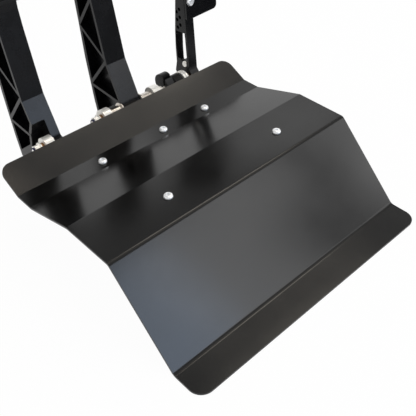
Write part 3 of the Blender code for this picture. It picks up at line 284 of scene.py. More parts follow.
FINISHES: dict[Slot, Finish] = {
    Slot.POWDER_COAT: Finish(
        "satin_powder_coat", (0.0016, 0.0015, 0.0014), (0.0022, 0.0021, 0.0019), 0.19, rough_swing=0.05,
        patch=60 * MM, grain=0.9 * MM, grain_depth=0.03 * MM, grain_strength=0.12, specular=0.38),
    Slot.ANODISED: Finish(
        "black_anodised", (0.0025, 0.0025, 0.0031), (0.0034, 0.0034, 0.0042), 0.27, rough_swing=0.06,
        patch=25 * MM, grain=0.35 * MM, grain_depth=0.010 * MM, grain_strength=0.15, specular=0.24),
    Slot.ZINC: Finish(
        "bright_zinc", (0.94, 0.93, 0.89), (0.90, 0.88, 0.83), 0.34, metallic=0.55, rough_swing=0.05,
        patch=9 * MM, grain=0.25 * MM, grain_depth=0.006 * MM, grain_strength=0.15, stretch=(6.0, 1.0, 1.0)),
    Slot.SCREW: Finish(
        "screw_zinc", (0.96, 0.965, 0.97), (0.90, 0.91, 0.92), 0.26, metallic=0.6, patch=3 * MM,
        grain=0.2 * MM, grain_depth=0.008 * MM),
    Slot.STEEL: Finish(
        "turned_steel", (0.70, 0.66, 0.61), (0.58, 0.54, 0.49), 0.28, metallic=1.0, patch=8 * MM,
        grain=0.3 * MM, grain_depth=0.012 * MM, stretch=(8.0, 1.0, 1.0)),
    Slot.ALUMINIUM: Finish(
        "turned_aluminium", (0.70, 0.70, 0.71), (0.60, 0.60, 0.62), 0.34, metallic=1.0, patch=8 * MM,
        grain=0.3 * MM, grain_depth=0.012 * MM, stretch=(1.0, 8.0, 1.0)),
    Slot.BRONZE: Finish(
        "oiled_bronze", (0.36, 0.21, 0.10), (0.22, 0.12, 0.05), 0.42, metallic=1.0, patch=2 * MM,
        grain=0.25 * MM, speck=0.32, speck_shade=(0.06, 0.03, 0.015)),
    Slot.NYLON: Finish(
        "blue_nylon", (0.004, 0.005, 0.055), (0.007, 0.008, 0.075), 0.45, patch=3 * MM, grain=0.2 * MM,
        specular=0.22),
    Slot.RUBBER: Finish(
        "grip_rubber", (0.005, 0.005, 0.005), (0.008, 0.008, 0.0076), 0.60, patch=12 * MM, grain=0.5 * MM,
        grain_depth=0.05 * MM, grain_strength=0.5, specular=0.27),
    Slot.SPRING: Finish(
        "black_spring", (0.020, 0.020, 0.021), (0.032, 0.031, 0.030), 0.35, metallic=0.6, patch=5 * MM,
        grain=0.25 * MM),
}


@cache
def finish_of(slot: Slot) -> Material:
    """Return the material of a slot, made once."""
    return FINISHES[slot].build()


def node_slot(node: str) -> Slot:
    """Return the record's slot of a frame node."""
    rows = frame["record"]["subparts"]
    return next(Slot(row["material_slot"]) for row in rows if row["node"] == node)


def node_body(node: str) -> Body:
    """Return the body that a frame node belongs to."""
    bodies = frame["record"]["behaviour"]["bodies"]
    return next(Body(body) for body, nodes in bodies.items() if node in nodes)


def middle(node: str) -> Vector:
    """Return the middle of a frame node's box."""
    low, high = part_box(node)
    return (low + high) / 2.0


def stand(name: str, data: bpy.types.ID) -> Object:
    """Put new data into the scene.

    Args:
        name: The object's name.
        data: Its mesh, curve, lamp or camera.

    Returns:
        The object.
    """
    made = bpy.data.objects.new(name, data)
    bpy.context.scene.collection.objects.link(made)
    return made


def round_edges(piece: Object, width: float, angle: float) -> None:
    """Round a piece's edges.

    Args:
        piece: The piece.
        width: How wide the rounded edges are.
        angle: Edges sharper than this many degrees are rounded.
    """
    edge = piece.modifiers.new("edges", "BEVEL")
    edge.width = width
    edge.segments = EDGE_SEGMENTS
    edge.limit_method = "ANGLE"
    edge.angle_limit = math.radians(angle)
    edge.harden_normals = True


def add_piece(name: str, mesh: Mesh, slot: Slot, body: Body, replaces: Iterable[str] = (),
              bevel: float = 0.0, angle: float = 30.0) -> Object:
    """Put a mesh into the scene as a named piece with a finish, a body and what it replaces.

    Args:
        name: The piece's name.
        mesh: Its mesh, in the frame's metres.
        slot: The finish that it takes.
        body: The body that it rides on.
        replaces: Frame nodes that it stands for.
        bevel: Width of its rounded edges, or 0.
        angle: Edges sharper than this many degrees are rounded and kept crisp.

    Returns:
        The piece.
    """
    piece = stand(name, mesh)
    mesh.materials.clear()
    mesh.materials.append(finish_of(slot))
    mesh.shade_smooth()
    if bevel > 0.0:
        round_edges(piece, bevel, angle)
        flats = piece.modifiers.new("flats", "WEIGHTED_NORMAL")
        flats.keep_sharp = True
    else:
        mesh.set_sharp_from_angle(angle=math.radians(angle))
    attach(piece, body.value)
    nodes = list(replaces)
    if nodes:
        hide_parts(*nodes)
    LOG.info("%s on %s, %s", name, body.value, slot.value)
    return piece


def mesh_from(name: str, bm: BMesh, upward: bool = False) -> Mesh:
    """Turn a bmesh into a mesh with its faces out.

    Args:
        name: The mesh's name.
        bm: The bmesh, which is freed.
        upward: Whether it is an open sheet, whose faces are to look up.

    Returns:
        The mesh.
    """
    bmesh.ops.recalc_face_normals(bm, faces=bm.faces[:])
    if upward and sum(face.normal.z for face in bm.faces) < 0.0:
        bmesh.ops.reverse_faces(bm, faces=bm.faces[:])
    made = bpy.data.meshes.new(name)
    bm.to_mesh(made)
    bm.free()
    return made


def welded(mesh: Mesh) -> BMesh:
    """Copy a mesh with its doubled points joined.

    Args:
        mesh: The mesh to copy.

    Returns:
        The copy.
    """
    bm = bmesh.new()
    bm.from_mesh(mesh)
    bmesh.ops.remove_doubles(bm, verts=bm.verts[:], dist=WELD)
    return bm


def dress(node: str, bevel: float, angle: float = 32.0) -> None:
    """Replace a frame node by itself, with its flat facets merged and its edges rounded.

    Args:
        node: The frame node.
        bevel: Width of the rounded edges.
        angle: Edges sharper than this many degrees are rounded.
    """
    name = f"{node}_dressed"
    bm = welded(frame["nodes"][node].data)
    bmesh.ops.dissolve_limit(bm, angle_limit=FLAT_ANGLE, verts=bm.verts[:], edges=bm.edges[:],
                             use_dissolve_boundaries=False)
    add_piece(name, mesh_from(name, bm), node_slot(node), node_body(node), [node], bevel, angle)


def circle(radius: float, steps: int) -> list[Point]:
    """Return evenly spaced points round a circle."""
    turns = [2.0 * math.pi * step / steps for step in range(steps)]
    return [(radius * math.cos(turn), radius * math.sin(turn)) for turn in turns]


def join_loops(bm: BMesh, loops: Sequence[Sequence[BMVert]], steps: int) -> None:
    """Join each loop of points to the next with faces.

    Args:
        bm: The mesh to add to.
        loops: Loops with a point for each step, or with a single point.
        steps: Facets round the axis.
    """
    for upper, lower in zip(loops, loops[1:]):
        for step in range(steps):
            after = (step + 1) % steps
            corners = [upper[step % len(upper)], upper[after % len(upper)], lower[after % len(lower)],
                       lower[step % len(lower)]]
            unique = list(dict.fromkeys(corners))
            if len(unique) > 2:
                bm.faces.new(unique)


def turned(name: str, profile: Sequence[Point], place: Matrix, steps: int) -> Mesh:
    """Turn a profile about its own axis.

    Args:
        name: The mesh's name.
        profile: Points of (radius, height) from the top to the bottom; a ring repeats its first point.
        place: Where the piece stands.
        steps: Facets round the axis.

    Returns:
        The turned mesh.
    """
    bm = bmesh.new()
    loops = []
    for radius, height in profile:
        ring = circle(radius, steps) if radius > 0.0 else [(0.0, 0.0)]
        loops.append([bm.verts.new((x, y, height)) for x, y in ring])
    join_loops(bm, loops, steps)
    bmesh.ops.remove_doubles(bm, verts=bm.verts[:], dist=WELD)
    bmesh.ops.transform(bm, matrix=place, verts=bm.verts[:])
    return mesh_from(name, bm)


def facing(place: Vector, direction: Sequence[float]) -> Matrix:
    """Return a placement whose own +Z points along a direction."""
    turn = Vector(direction).to_track_quat("Z", "Y").to_matrix().to_4x4()
    return Matrix.Translation(place) @ turn


def add_line(curve: Curve, points: Iterable[Sequence[float]], closed: bool) -> None:
    """Add a line of straight runs to a curve.

    Args:
        curve: The curve.
        points: The line's points.
        closed: Whether its end joins its start.
    """
    places = [(*point, 1.0) for point in points]
    spline = curve.splines.new("POLY")
    spline.points.add(len(places) - 1)
    for target, place in zip(spline.points, places):
        target.co = place
    spline.use_cyclic_u = closed


def mesh_of(curve: Curve) -> Mesh:
    """Turn a curve into a mesh.

    Args:
        curve: The curve.

    Returns:
        Its mesh.
    """
    holder = stand(f"{curve.name}_path", curve)
    mesh = bpy.data.meshes.new_from_object(holder.evaluated_get(bpy.context.evaluated_depsgraph_get()))
    bpy.data.objects.remove(holder)
    return mesh


def rounded(points: Sequence[Point], radii: Sequence[float], steps: int) -> list[Point]:
    """Round the corners of a closed outline.

    Args:
        points: The outline's corners.
        radii: A radius for each corner.
        steps: Straight runs in each rounded corner.

    Returns:
        The rounded outline.
    """
    out: list[Point] = []
    count = len(points)
    for index, point in enumerate(points):
        corner = Vector(point)
        back = (Vector(points[index - 1]) - corner).normalized()
        ahead = (Vector(points[(index + 1) % count]) - corner).normalized()
        half = back.angle(ahead) / 2.0
        centre = corner + (back + ahead).normalized() * radii[index] / math.sin(half)
        first = corner + back * radii[index] / math.tan(half) - centre
        last = corner + ahead * radii[index] / math.tan(half) - centre
        sweep = first.angle_signed(last)
        for step in range(steps + 1):
            spot = centre + Matrix.Rotation(-sweep * step / steps, 2) @ first
            out.append((spot.x, spot.y))
    return out


@dataclass
class HeelPlate:
    """The folded sheet: rear lip, screw strip, ramp, heel panel, apron and toe.

    A turn above 0 is a valley seen from above, and one below 0 is a crest.
    """

    width: float = 360 * MM
    sheet: float = 2.5 * MM
    rear_corner: float = 14 * MM
    front_corner: float = 16 * MM
    corner_steps: int = 14
    lengths: tuple[float, ...] = (41.4 * MM, 26.0 * MM, 76.1 * MM, 69.4 * MM, 124.3 * MM, 37.1 * MM)
    turns: tuple[float, ...] = (26.0, 16.4, -16.4, -43.4, 43.4)
    bends: tuple[float, ...] = (1.2 * MM, 3.0 * MM, 5.5 * MM, 7.5 * MM, 8.0 * MM)
    bend_steps: int = 10
    edge: float = 0.45 * MM
    edge_angle: float = 50.0
    hole: float = 3.3 * MM
    hole_steps: int = 24
    cut_reach: float = 0.0005 * MM

    def stations(self) -> list[Station]:
        """Walk down the top face from the rear lip to the toe.

        Returns:
            Run along the sheet, y and z at each end of a flat and each step of a bend.
        """
        low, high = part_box("heel_plate")
        heading = math.radians(180.0 + self.turns[0])
        y, z, run = high.y, 0.0, 0.0
        out = [(run, y, z)]
        cuts = [0.0] + [self._setback(index) for index in range(len(self.turns))] + [0.0]
        for index, length in enumerate(self.lengths):
            flat = length - cuts[index] - cuts[index + 1]
            y += flat * math.cos(heading)
            z += flat * math.sin(heading)
            run += flat
            out.append((run, y, z))
            if index < len(self.turns):
                heading = self._bend(out, index, heading)
                run, y, z = out[-1]
        drop = out[-1][2]
        return [(run, y, z - drop + low.z + self.sheet) for run, y, z in out]

    def _setback(self, index: int) -> float:
        """Return how far a bend's arc reaches along each of its flats."""
        return self.bends[index] * math.tan(math.radians(abs(self.turns[index])) / 2.0)

    def _bend(self, out: list[Station], index: int, heading: float) -> float:
        """Add one bend's steps to the stations.

        Args:
            out: The stations so far.
            index: Which bend.
            heading: Direction of travel before it, in radians.

        Returns:
            The direction after it.
        """
        run, y, z = out[-1]
        sweep = -math.radians(self.turns[index])
        reach = 2.0 * self._setback(index)
        step = reach / self.bend_steps / math.cos(sweep / 2.0)
        shares = [(count + 0.5) / self.bend_steps - 0.5 for count in range(self.bend_steps)]
        chord = reach * math.cos(sweep / 2.0) / sum(math.cos(sweep * share) for share in shares)
        half_turn = sweep / self.bend_steps / 2.0
        for _ in range(self.bend_steps):
            heading += half_turn
            y += chord * math.cos(heading)
            z += chord * math.sin(heading)
            run += step
            heading += half_turn
            out.append((run, y, z))
        return heading

    def build(self, screws: Sequence[Vector]) -> None:
        """Cut the flat sheet with its holes, fold it along the stations and give it thickness.

        Args:
            screws: Where the screws go through the plate.
        """
        runs, ys, zs = np.transpose(self.stations())
        bm = welded(self._flat(runs[-1], [(x, -np.interp(-y, -ys, runs)) for x, y, _ in screws]))
        for run in runs[1:-1]:
            bmesh.ops.bisect_plane(bm, geom=bm.verts[:] + bm.edges[:] + bm.faces[:], plane_co=(0, -run, 0),
                                   plane_no=(0, 1, 0), dist=self.cut_reach)
        for vert in bm.verts:
            run = -vert.co.y
            vert.co = (vert.co.x, np.interp(run, runs, ys), np.interp(run, runs, zs))
        mesh = mesh_from("heel_plate_sheet", bm, upward=True)
        piece = add_piece("heel_plate_sheet", mesh, Slot.POWDER_COAT, Body.ROOT, ["heel_plate"])
        solid = piece.modifiers.new("thickness", "SOLIDIFY")
        solid.thickness = self.sheet
        solid.offset = -1.0
        solid.use_even_offset = True
        round_edges(piece, self.edge, self.edge_angle)

    def _flat(self, length: float, holes: Sequence[Point]) -> Mesh:
        """Fill the unfolded outline round its screw holes.

        Args:
            length: How long the sheet is, unfolded.
            holes: The middles of the holes in the unfolded sheet.

        Returns:
            One flat mesh.
        """
        half = self.width / 2.0
        corners = [(-half, -length), (half, -length), (half, 0.0), (-half, 0.0)]
        radii = [self.front_corner, self.front_corner, self.rear_corner, self.rear_corner]
        loops = [rounded(corners, radii, self.corner_steps)]
        for hole_x, hole_y in holes:
            loops.append([(hole_x + x, hole_y + y) for x, y in circle(self.hole, self.hole_steps)])
        curve = bpy.data.curves.new("heel_flat", "CURVE")
        curve.dimensions = "2D"
        curve.fill_mode = "FRONT"
        for loop in loops:
            add_line(curve, [(x, y, 0.0) for x, y in loop], True)
        return mesh_of(curve)


@dataclass
class ButtonScrew:
    """A button head screw with a domed head and a six-sided socket."""

    head: float = 5.3 * MM
    height: float = 3.3 * MM
    shank: float = 2.9 * MM
    length: float = 9.0 * MM
    tip: float = 0.4 * MM
    socket: float = 2.1 * MM
    socket_depth: float = 1.7 * MM
    rim: float = 1.3
    side: float = 0.12
    dome_power: float = 0.9
    dome_steps: int = 7
    steps: int = 36
    crisp: float = 40.0

    def mesh(self, name: str, place: Matrix) -> Mesh:
        """Make the screw with its seat at the placement's origin and its head along +Z.

        Args:
            name: The mesh's name.
            place: Where the seat lies and which way the head points.

        Returns:
            The closed mesh.
        """
        bm = bmesh.new()
        loops = [self._hex(bm, self.height - self.socket_depth), self._hex(bm, self.height)]
        rim = self.socket * self.rim
        for step in range(self.dome_steps + 1):
            turn = math.pi / 2.0 * step / self.dome_steps
            rise = self.side + (1.0 - self.side) * math.cos(turn) ** self.dome_power
            loops.append(self._ring(bm, rim + (self.head - rim) * math.sin(turn), self.height * rise))
        for radius, height in ((self.head, 0.0), (self.shank, 0.0), (self.shank, self.tip - self.length),
                               (self.shank - self.tip, -self.length)):
            loops.append(self._ring(bm, radius, height))
        join_loops(bm, loops, self.steps)
        bm.faces.new(loops[0])
        bm.faces.new(loops[-1])
        bmesh.ops.transform(bm, matrix=place, verts=bm.verts[:])
        return mesh_from(name, bm)

    def _ring(self, bm: BMesh, radius: float, height: float) -> list[BMVert]:
        """Add a round loop of points."""
        return [bm.verts.new((x, y, height)) for x, y in circle(radius, self.steps)]

    def _hex(self, bm: BMesh, height: float) -> list[BMVert]:
        """Add a six-sided loop with as many points as the round ones.

        Args:
            bm: The mesh to add to.
            height: How high the loop lies.

        Returns:
            The loop's points.
        """
        loop = []
        side = math.pi / 3.0
        for x, y in circle(self.socket, self.steps):
            away = (math.atan2(y, x) + side / 2.0) % side - side / 2.0
            share = math.cos(side / 2.0) / math.cos(away)
            loop.append(bm.verts.new((x * share, y * share, height)))
        return loop

    def seat(self, name: str, place: Matrix, body: Body, replaces: Iterable[str] = ()) -> None:
        """Add the screw as a piece."""
        add_piece(name, self.mesh(name, place), Slot.SCREW, body, replaces, angle=self.crisp)


@dataclass
class HeelScrews:
    """The five bright screws on the heel plate."""

    names: tuple[str, ...] = ("rear_left", "rear_middle", "rear_right", "front_left", "front_right")
    screw: ButtonScrew = field(default_factory=ButtonScrew)

    def seats(self) -> list[Vector]:
        """Return the middle of each screw's seat on the plate."""
        boxes = [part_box(f"heel_screw_{name}") for name in self.names]
        return [Vector((*((low + high) / 2.0).xy, high.z - self.screw.height)) for low, high in boxes]

    def build(self) -> None:
        """Set a domed screw on each seat."""
        for name, seat in zip(self.names, self.seats()):
            node = f"heel_screw_{name}"
            self.screw.seat(f"{node}_head", Matrix.Translation(seat), Body.ROOT, [node])


@dataclass
class RoundPieces:
    """Turned pieces on the pivot line: bushes, bolts, spacers, discs, pins and nuts."""

    rings: tuple[str, ...] = (
        "brake_ear_left_bush", "brake_ear_right_bush", "clutch_ear_bush", "brake_arm_bush", "clutch_arm_bush",
        "throttle_bush", "brake_pivot_nut_collar", "clutch_pivot_nut_collar", "throttle_disc_left",
        "throttle_disc_right")
    steps: int = 44
    chamfer: float = 0.5 * MM
    thin_ring: float = 0.2
    pin: float = 4.0 * MM
    gap: float = 0.3 * MM
    spacer_wall: float = 3.5 * MM
    spacer_flange: float = 2.0 * MM
    spacer_chamfer: float = 0.3 * MM
    bolt_head: float = 7.5 * MM
    bolt_head_radius: float = 6.5 * MM
    bolt_crown: float = 0.86
    bolt_chamfer: float = 0.7 * MM
    bolt_flange: float = 1.5 * MM
    bolt_flange_chamfer: float = 0.2 * MM
    bolt_socket: float = 2.9 * MM
    bolt_socket_depth: float = 3.0 * MM
    pin_head: float = 3.0 * MM
    pin_chamfer: float = 0.75 * MM
    groove: float = 2.0 * MM

    def build(self) -> None:
        """Replace each faceted turned node by a smooth one with broken edges."""
        for node in self.rings:
            self._ring(node)
        self._spacer("brake_spacer_left", True)
        self._spacer("brake_spacer_right", False)
        for pedal in ("brake", "clutch"):
            self._bolt(f"{pedal}_pivot_bolt")
        for pedal in ("brake", "clutch"):
            dress(f"{pedal}_pivot_nut", self.chamfer)
        self._pin("throttle_pin")
        self._bar("balance_bar")
        self._bar("clutch_clevis_pin")

    @staticmethod
    def axis(node: str) -> tuple[Vector, float, float]:
        """Measure a node whose axis lies along X.

        Args:
            node: The frame node.

        Returns:
            The left end of its axis, its length and its radius.
        """
        low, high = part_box(node)
        start = middle(node)
        start.x = low.x
        return start, high.x - low.x, (high.z - low.z) / 2.0

    def _turn(self, node: str, profile: Sequence[Point], from_left: bool = False) -> None:
        """Replace a node by a profile turned about its axis.

        Args:
            node: The frame node.
            profile: Points of (radius, height) from the right end to the left.
            from_left: Whether the points run from the left end to the right.
        """
        start, length, _ = self.axis(node)
        place = facing(start, (1, 0, 0))
        if from_left:
            place = facing(start + Vector((length, 0.0, 0.0)), (-1, 0, 0))
        name = f"{node}_turned"
        mesh = turned(name, profile, place, self.steps)
        add_piece(name, mesh, node_slot(node), node_body(node), [node])

    def _ring(self, node: str) -> None:
        """Replace a plain ring.

        Args:
            node: The frame node.
        """
        _, length, outer = self.axis(node)
        inner = self.pin + self.gap
        cut = min(self.chamfer, length * self.thin_ring)
        half = cut / 2.0
        self._turn(node, [
            (inner, length - half), (inner + half, length), (outer - cut, length), (outer, length - cut),
            (outer, cut), (outer - cut, 0.0), (inner + half, 0.0), (inner, half), (inner, length - half)])

    def _spacer(self, node: str, flange_right: bool) -> None:
        """Replace a spacer tube, whose flange faces the brake arm.

        Args:
            node: The frame node.
            flange_right: Whether its flange is at its right end.
        """
        _, length, outer = self.axis(node)
        inner = self.pin + self.gap
        tube = inner + self.spacer_wall
        cut, flange = self.spacer_chamfer, self.spacer_flange
        self._turn(node, [
            (inner, length), (tube - cut, length), (tube, length - cut), (tube, flange),
            (outer - cut, flange), (outer, flange - cut), (outer, cut), (outer - cut, 0.0),
            (inner, 0.0), (inner, length)], flange_right)

    def _bolt(self, node: str) -> None:
        """Replace a pivot bolt: socket cap head, flange and shank, head to the right.

        Args:
            node: The frame node.
        """
        _, length, flange = self.axis(node)
        head = min(self.bolt_head_radius, flange - self.chamfer)
        seat = length - self.bolt_head
        shoulder = seat + self.bolt_flange
        bottom = length - self.bolt_socket_depth
        cut = self.bolt_flange_chamfer
        self._turn(node, [
            (0.0, bottom), (self.bolt_socket, bottom), (self.bolt_socket, length),
            (head * self.bolt_crown, length), (head, length - self.bolt_chamfer), (head, shoulder),
            (flange - cut, shoulder), (flange, shoulder - cut), (flange, seat), (self.pin, seat),
            (self.pin, self.chamfer), (self.pin - self.chamfer, 0.0), (0.0, 0.0)])

    def _pin(self, node: str) -> None:
        """Replace the throttle pin: a plain shank with a low round head on the right.

        Args:
            node: The frame node.
        """
        _, length, outer = self.axis(node)
        cut, seat = self.pin_chamfer, length - self.pin_head
        self._turn(node, [
            (0.0, length), (outer - cut, length), (outer, length - cut), (outer, seat), (self.pin, seat),
            (self.pin, self.chamfer), (self.pin - self.chamfer, 0.0), (0.0, 0.0)])

    def _bar(self, node: str) -> None:
        """Replace a plain bar with broken ends and a groove near each.

        Args:
            node: The frame node.
        """
        _, length, outer = self.axis(node)
        cut = self.chamfer
        profile = [(0.0, length), (outer - cut, length), (outer, length - cut)]
        for near in (length - self.groove, self.groove):
            profile += [(outer, near + cut), (outer - cut, near + cut), (outer - cut, near), (outer, near)]
        profile += [(outer, cut), (outer - cut, 0.0), (0.0, 0.0)]
        self._turn(node, profile)


@dataclass
class ReturnSpring:
    """The black torsion spring on the throttle's spigot."""

    wire: float = 1.0 * MM
    wire_steps: int = 4
    radius: float = 12.2 * MM
    curls: float = 4.5
    pitch: float = 2.8 * MM
    points: int = 28
    leg: float = 14 * MM

    def build(self) -> None:
        """Wind one wire round the pivot line, with a leg at each end, where its node lies."""
        pivot = RoundPieces.axis("throttle_pin")[0]
        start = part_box("throttle_return_spring")[0].x + self.wire
        path = [(start, pivot.y + self.radius, pivot.z - self.leg)]
        for step in range(round(self.curls * self.points) + 1):
            turn = 2.0 * math.pi * step / self.points
            y, z = self.radius * math.cos(turn), self.radius * math.sin(turn)
            path.append((start + self.pitch * step / self.points, pivot.y + y, pivot.z + z))
        path.append((path[-1][0], pivot.y - self.radius, pivot.z - self.leg))
        curve = bpy.data.curves.new("return_spring_wire", "CURVE")
        curve.dimensions = "3D"
        curve.bevel_depth = self.wire
        curve.bevel_resolution = self.wire_steps
        curve.use_fill_caps = True
        add_line(curve, path, False)
        mesh = mesh_from("return_spring_wire", welded(mesh_of(curve)))
        add_piece("return_spring_wire", mesh, Slot.SPRING, Body.ROOT, ["throttle_return_spring"])


@dataclass
class Pedals:
    """The three pedal arms and their pads, with rounded edges, pad screws and the throttle's cable pin."""

    arm_edge: float = 0.7 * MM
    arm_crisp: float = 8.0
    pad_edge: float = 0.6 * MM
    pad_well: float = 5.2 * MM
    pad_screw_pitch: float = 50 * MM
    pad_screw: ButtonScrew = field(default_factory=lambda: ButtonScrew(
        head=4.4 * MM, height=2.8 * MM, shank=2.4 * MM, length=15 * MM,
        socket=1.6 * MM, socket_depth=1.3 * MM))
    throttle_screw: ButtonScrew = field(default_factory=lambda: ButtonScrew(
        head=5.8 * MM, shank=2.4 * MM, length=15 * MM))
    throttle_lean: float = math.radians(5.0)
    crown_depth: float = 0.05 * MM
    cable_pin: float = 4.2 * MM
    cable_pin_head: float = 1.2 * MM
    cable_pin_chamfer: float = 0.6 * MM
    cable_pin_place: Point = (4.5 * MM, 19.0 * MM)
    cable_pin_steps: int = 32

    def build(self) -> None:
        """Dress the arms and pads and set their screws and the cable pin."""
        pedals = ("brake", "clutch", "throttle")
        for pedal in pedals:
            dress(f"{pedal}_arm", self.arm_edge, self.arm_crisp)
        for pedal in pedals:
            dress(f"{pedal}_pad", self.pad_edge)
        self._pad_screws("brake", Body.BRAKE)
        self._pad_screws("clutch", Body.CLUTCH)
        self._cable_pin()
        for place in ("lower", "upper"):
            self._throttle_screw(f"throttle_pad_screw_{place}")

    def _throttle_screw(self, node: str) -> None:
        """Replace a screw of the throttle pad, whose head leans with the pad.

        Args:
            node: The frame node.
        """
        out = Vector((0.0, -math.cos(self.throttle_lean), math.sin(self.throttle_lean)))
        points = [vertex.co for vertex in frame["nodes"][node].data.vertices]
        top = max(point.dot(out) for point in points)
        crown = [point for point in points if top - point.dot(out) < self.crown_depth]
        seat = sum(crown, Vector()) / len(crown) - out * self.throttle_screw.height
        self.throttle_screw.seat(f"{node}_head", facing(seat, out), Body.THROTTLE, [node])

    def _cable_pin(self) -> None:
        """Set the bright head of the throttle's cable pin on the arm's left face, under the slot."""
        pivot = RoundPieces.axis("throttle_pin")[0]
        seat = pivot + Matrix.Rotation(-self.throttle_lean, 3, "X") @ Vector((0.0, *self.cable_pin_place))
        seat.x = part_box("throttle_arm")[0].x
        head, radius, cut = self.cable_pin_head, self.cable_pin, self.cable_pin_chamfer
        profile = [(0.0, head), (radius - cut, head), (radius, head - cut), (radius, -cut), (0.0, -cut)]
        mesh = turned("throttle_cable_pin", profile, facing(seat, (-1, 0, 0)), self.cable_pin_steps)
        add_piece("throttle_cable_pin", mesh, Slot.ZINC, Body.THROTTLE)

    def _pad_screws(self, pedal: str, body: Body) -> None:
        """Set the two screws of a clutch or brake pad in their wells.

        Args:
            pedal: The pedal's name.
            body: The body that it rides on.
        """
        pad_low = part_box(f"{pedal}_pad")[0]
        height = (pad_low.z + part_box(f"{pedal}_arm")[1].z) / 2.0
        for side, name in ((-1.0, "lower"), (1.0, "upper")):
            seat = Vector((middle(f"{pedal}_arm").x, pad_low.y + self.pad_well,
                           height + side * self.pad_screw_pitch / 2.0))
            self.pad_screw.seat(f"{pedal}_pad_screw_{name}", facing(seat, (0, -1, 0)), body)


@dataclass
class Underside:
    """What stands on the base plate under the heel plate, and the screws that hold it."""

    edge: float = 0.5 * MM
    fine_edge: float = 0.35 * MM
    gap: float = 0.3 * MM
    ear_thick: float = 12 * MM
    foot_height: float = 6.0 * MM
    foot_inset: float = 7.0 * MM
    screw: ButtonScrew = field(default_factory=lambda: ButtonScrew(
        head=4.5 * MM, height=2.7 * MM, shank=2.4 * MM, length=11 * MM,
        socket=1.6 * MM, socket_depth=1.3 * MM))
    flange_front: float = -12.6 * MM
    flange_bolt_pitch: float = 35 * MM
    flange_bolt: ButtonScrew = field(default_factory=lambda: ButtonScrew(
        head=4.5 * MM, height=4.5 * MM, shank=2.4 * MM, length=18 * MM,
        socket=1.8 * MM, socket_depth=2.0 * MM))
    nut_bore: float = 2.7 * MM
    nut_radius: float = 4.6 * MM
    nut_height: float = 4.0 * MM
    nut_chamfer: float = 0.6 * MM
    nut_sides: int = 6
    bracket_sheet: float = 4.0 * MM
    bracket_inset: float = 12 * MM
    bracket_screw_y: float = 13.2 * MM
    bracket_screw_length: float = 9.0 * MM

    def build(self) -> None:
        """Dress the fixed pieces, the push rods and the fasteners."""
        footed = ("brake_ear_left", "brake_ear_right", "clutch_ear", "throttle_block")
        for node in ("base_plate", "cylinder_bracket", *footed, "heel_post_left", "heel_post_right"):
            dress(node, self.edge)
        for cylinder in ("brake_cylinder_left", "brake_cylinder_right", "clutch_cylinder"):
            dress(cylinder, self.edge)
            dress(f"{cylinder}_inlet", self.fine_edge)
            dress(f"{cylinder}_outlet", self.fine_edge)
            self._flange_bolts(cylinder)
        for prefix, suffix in (("brake", "_left"), ("brake", "_right"), ("clutch", "")):
            for piece in ("clevis", "pushrod", "piston"):
                dress(f"{prefix}_{piece}{suffix}", self.fine_edge)
        for node in footed:
            self._foot_screws(node)
        self._bracket_screws()

    def _foot_screws(self, node: str) -> None:
        """Set the two screws in the foot of an ear or block.

        Args:
            node: The frame node that has the foot.
        """
        low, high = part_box(node)
        for y, name in ((low.y + self.foot_inset, "front"), (high.y - self.foot_inset, "rear")):
            seat = Vector((low.x + self.ear_thick / 2.0, y, low.z + self.foot_height + self.gap))
            self.screw.seat(f"{node}_screw_{name}", Matrix.Translation(seat), Body.ROOT)

    def _flange_bolts(self, cylinder: str) -> None:
        """Set the two bolts through a cylinder's flange, with their nuts behind the wall.

        Args:
            cylinder: The cylinder's frame node.
        """
        centre = middle(cylinder)
        bore, outer, high, cut = self.nut_bore, self.nut_radius, self.nut_height, self.nut_chamfer
        nut = [(bore, high), (outer - cut, high), (outer, high - cut), (outer, 0.0), (bore, 0.0),
               (bore, high)]
        for side, name in ((-1.0, "left"), (1.0, "right")):
            x = centre.x + side * self.flange_bolt_pitch / 2.0
            seat = Vector((x, self.flange_front, centre.z))
            self.flange_bolt.seat(f"{cylinder}_bolt_{name}", facing(seat, (0, -1, 0)), Body.ROOT)
            behind = facing(Vector((x, self.gap, centre.z)), (0, 1, 0))
            mesh = turned(f"{cylinder}_nut_{name}", nut, behind, self.nut_sides)
            add_piece(f"{cylinder}_nut_{name}", mesh, Slot.SCREW, Body.ROOT)

    def _bracket_screws(self) -> None:
        """Set the four screws in the bracket's foot, short enough to end above the floor."""
        low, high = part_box("cylinder_bracket")
        brake, clutch = middle("brake_arm").x, middle("clutch_arm").x
        screw = replace(self.screw, length=self.bracket_screw_length)
        top = low.z + self.bracket_sheet + self.gap
        places = (low.x + self.bracket_inset, (brake + clutch) / 2.0, brake, high.x - self.bracket_inset)
        for index, x in enumerate(places):
            place = Matrix.Translation((x, self.bracket_screw_y, top))
            screw.seat(f"bracket_screw_{index}", place, Body.ROOT)


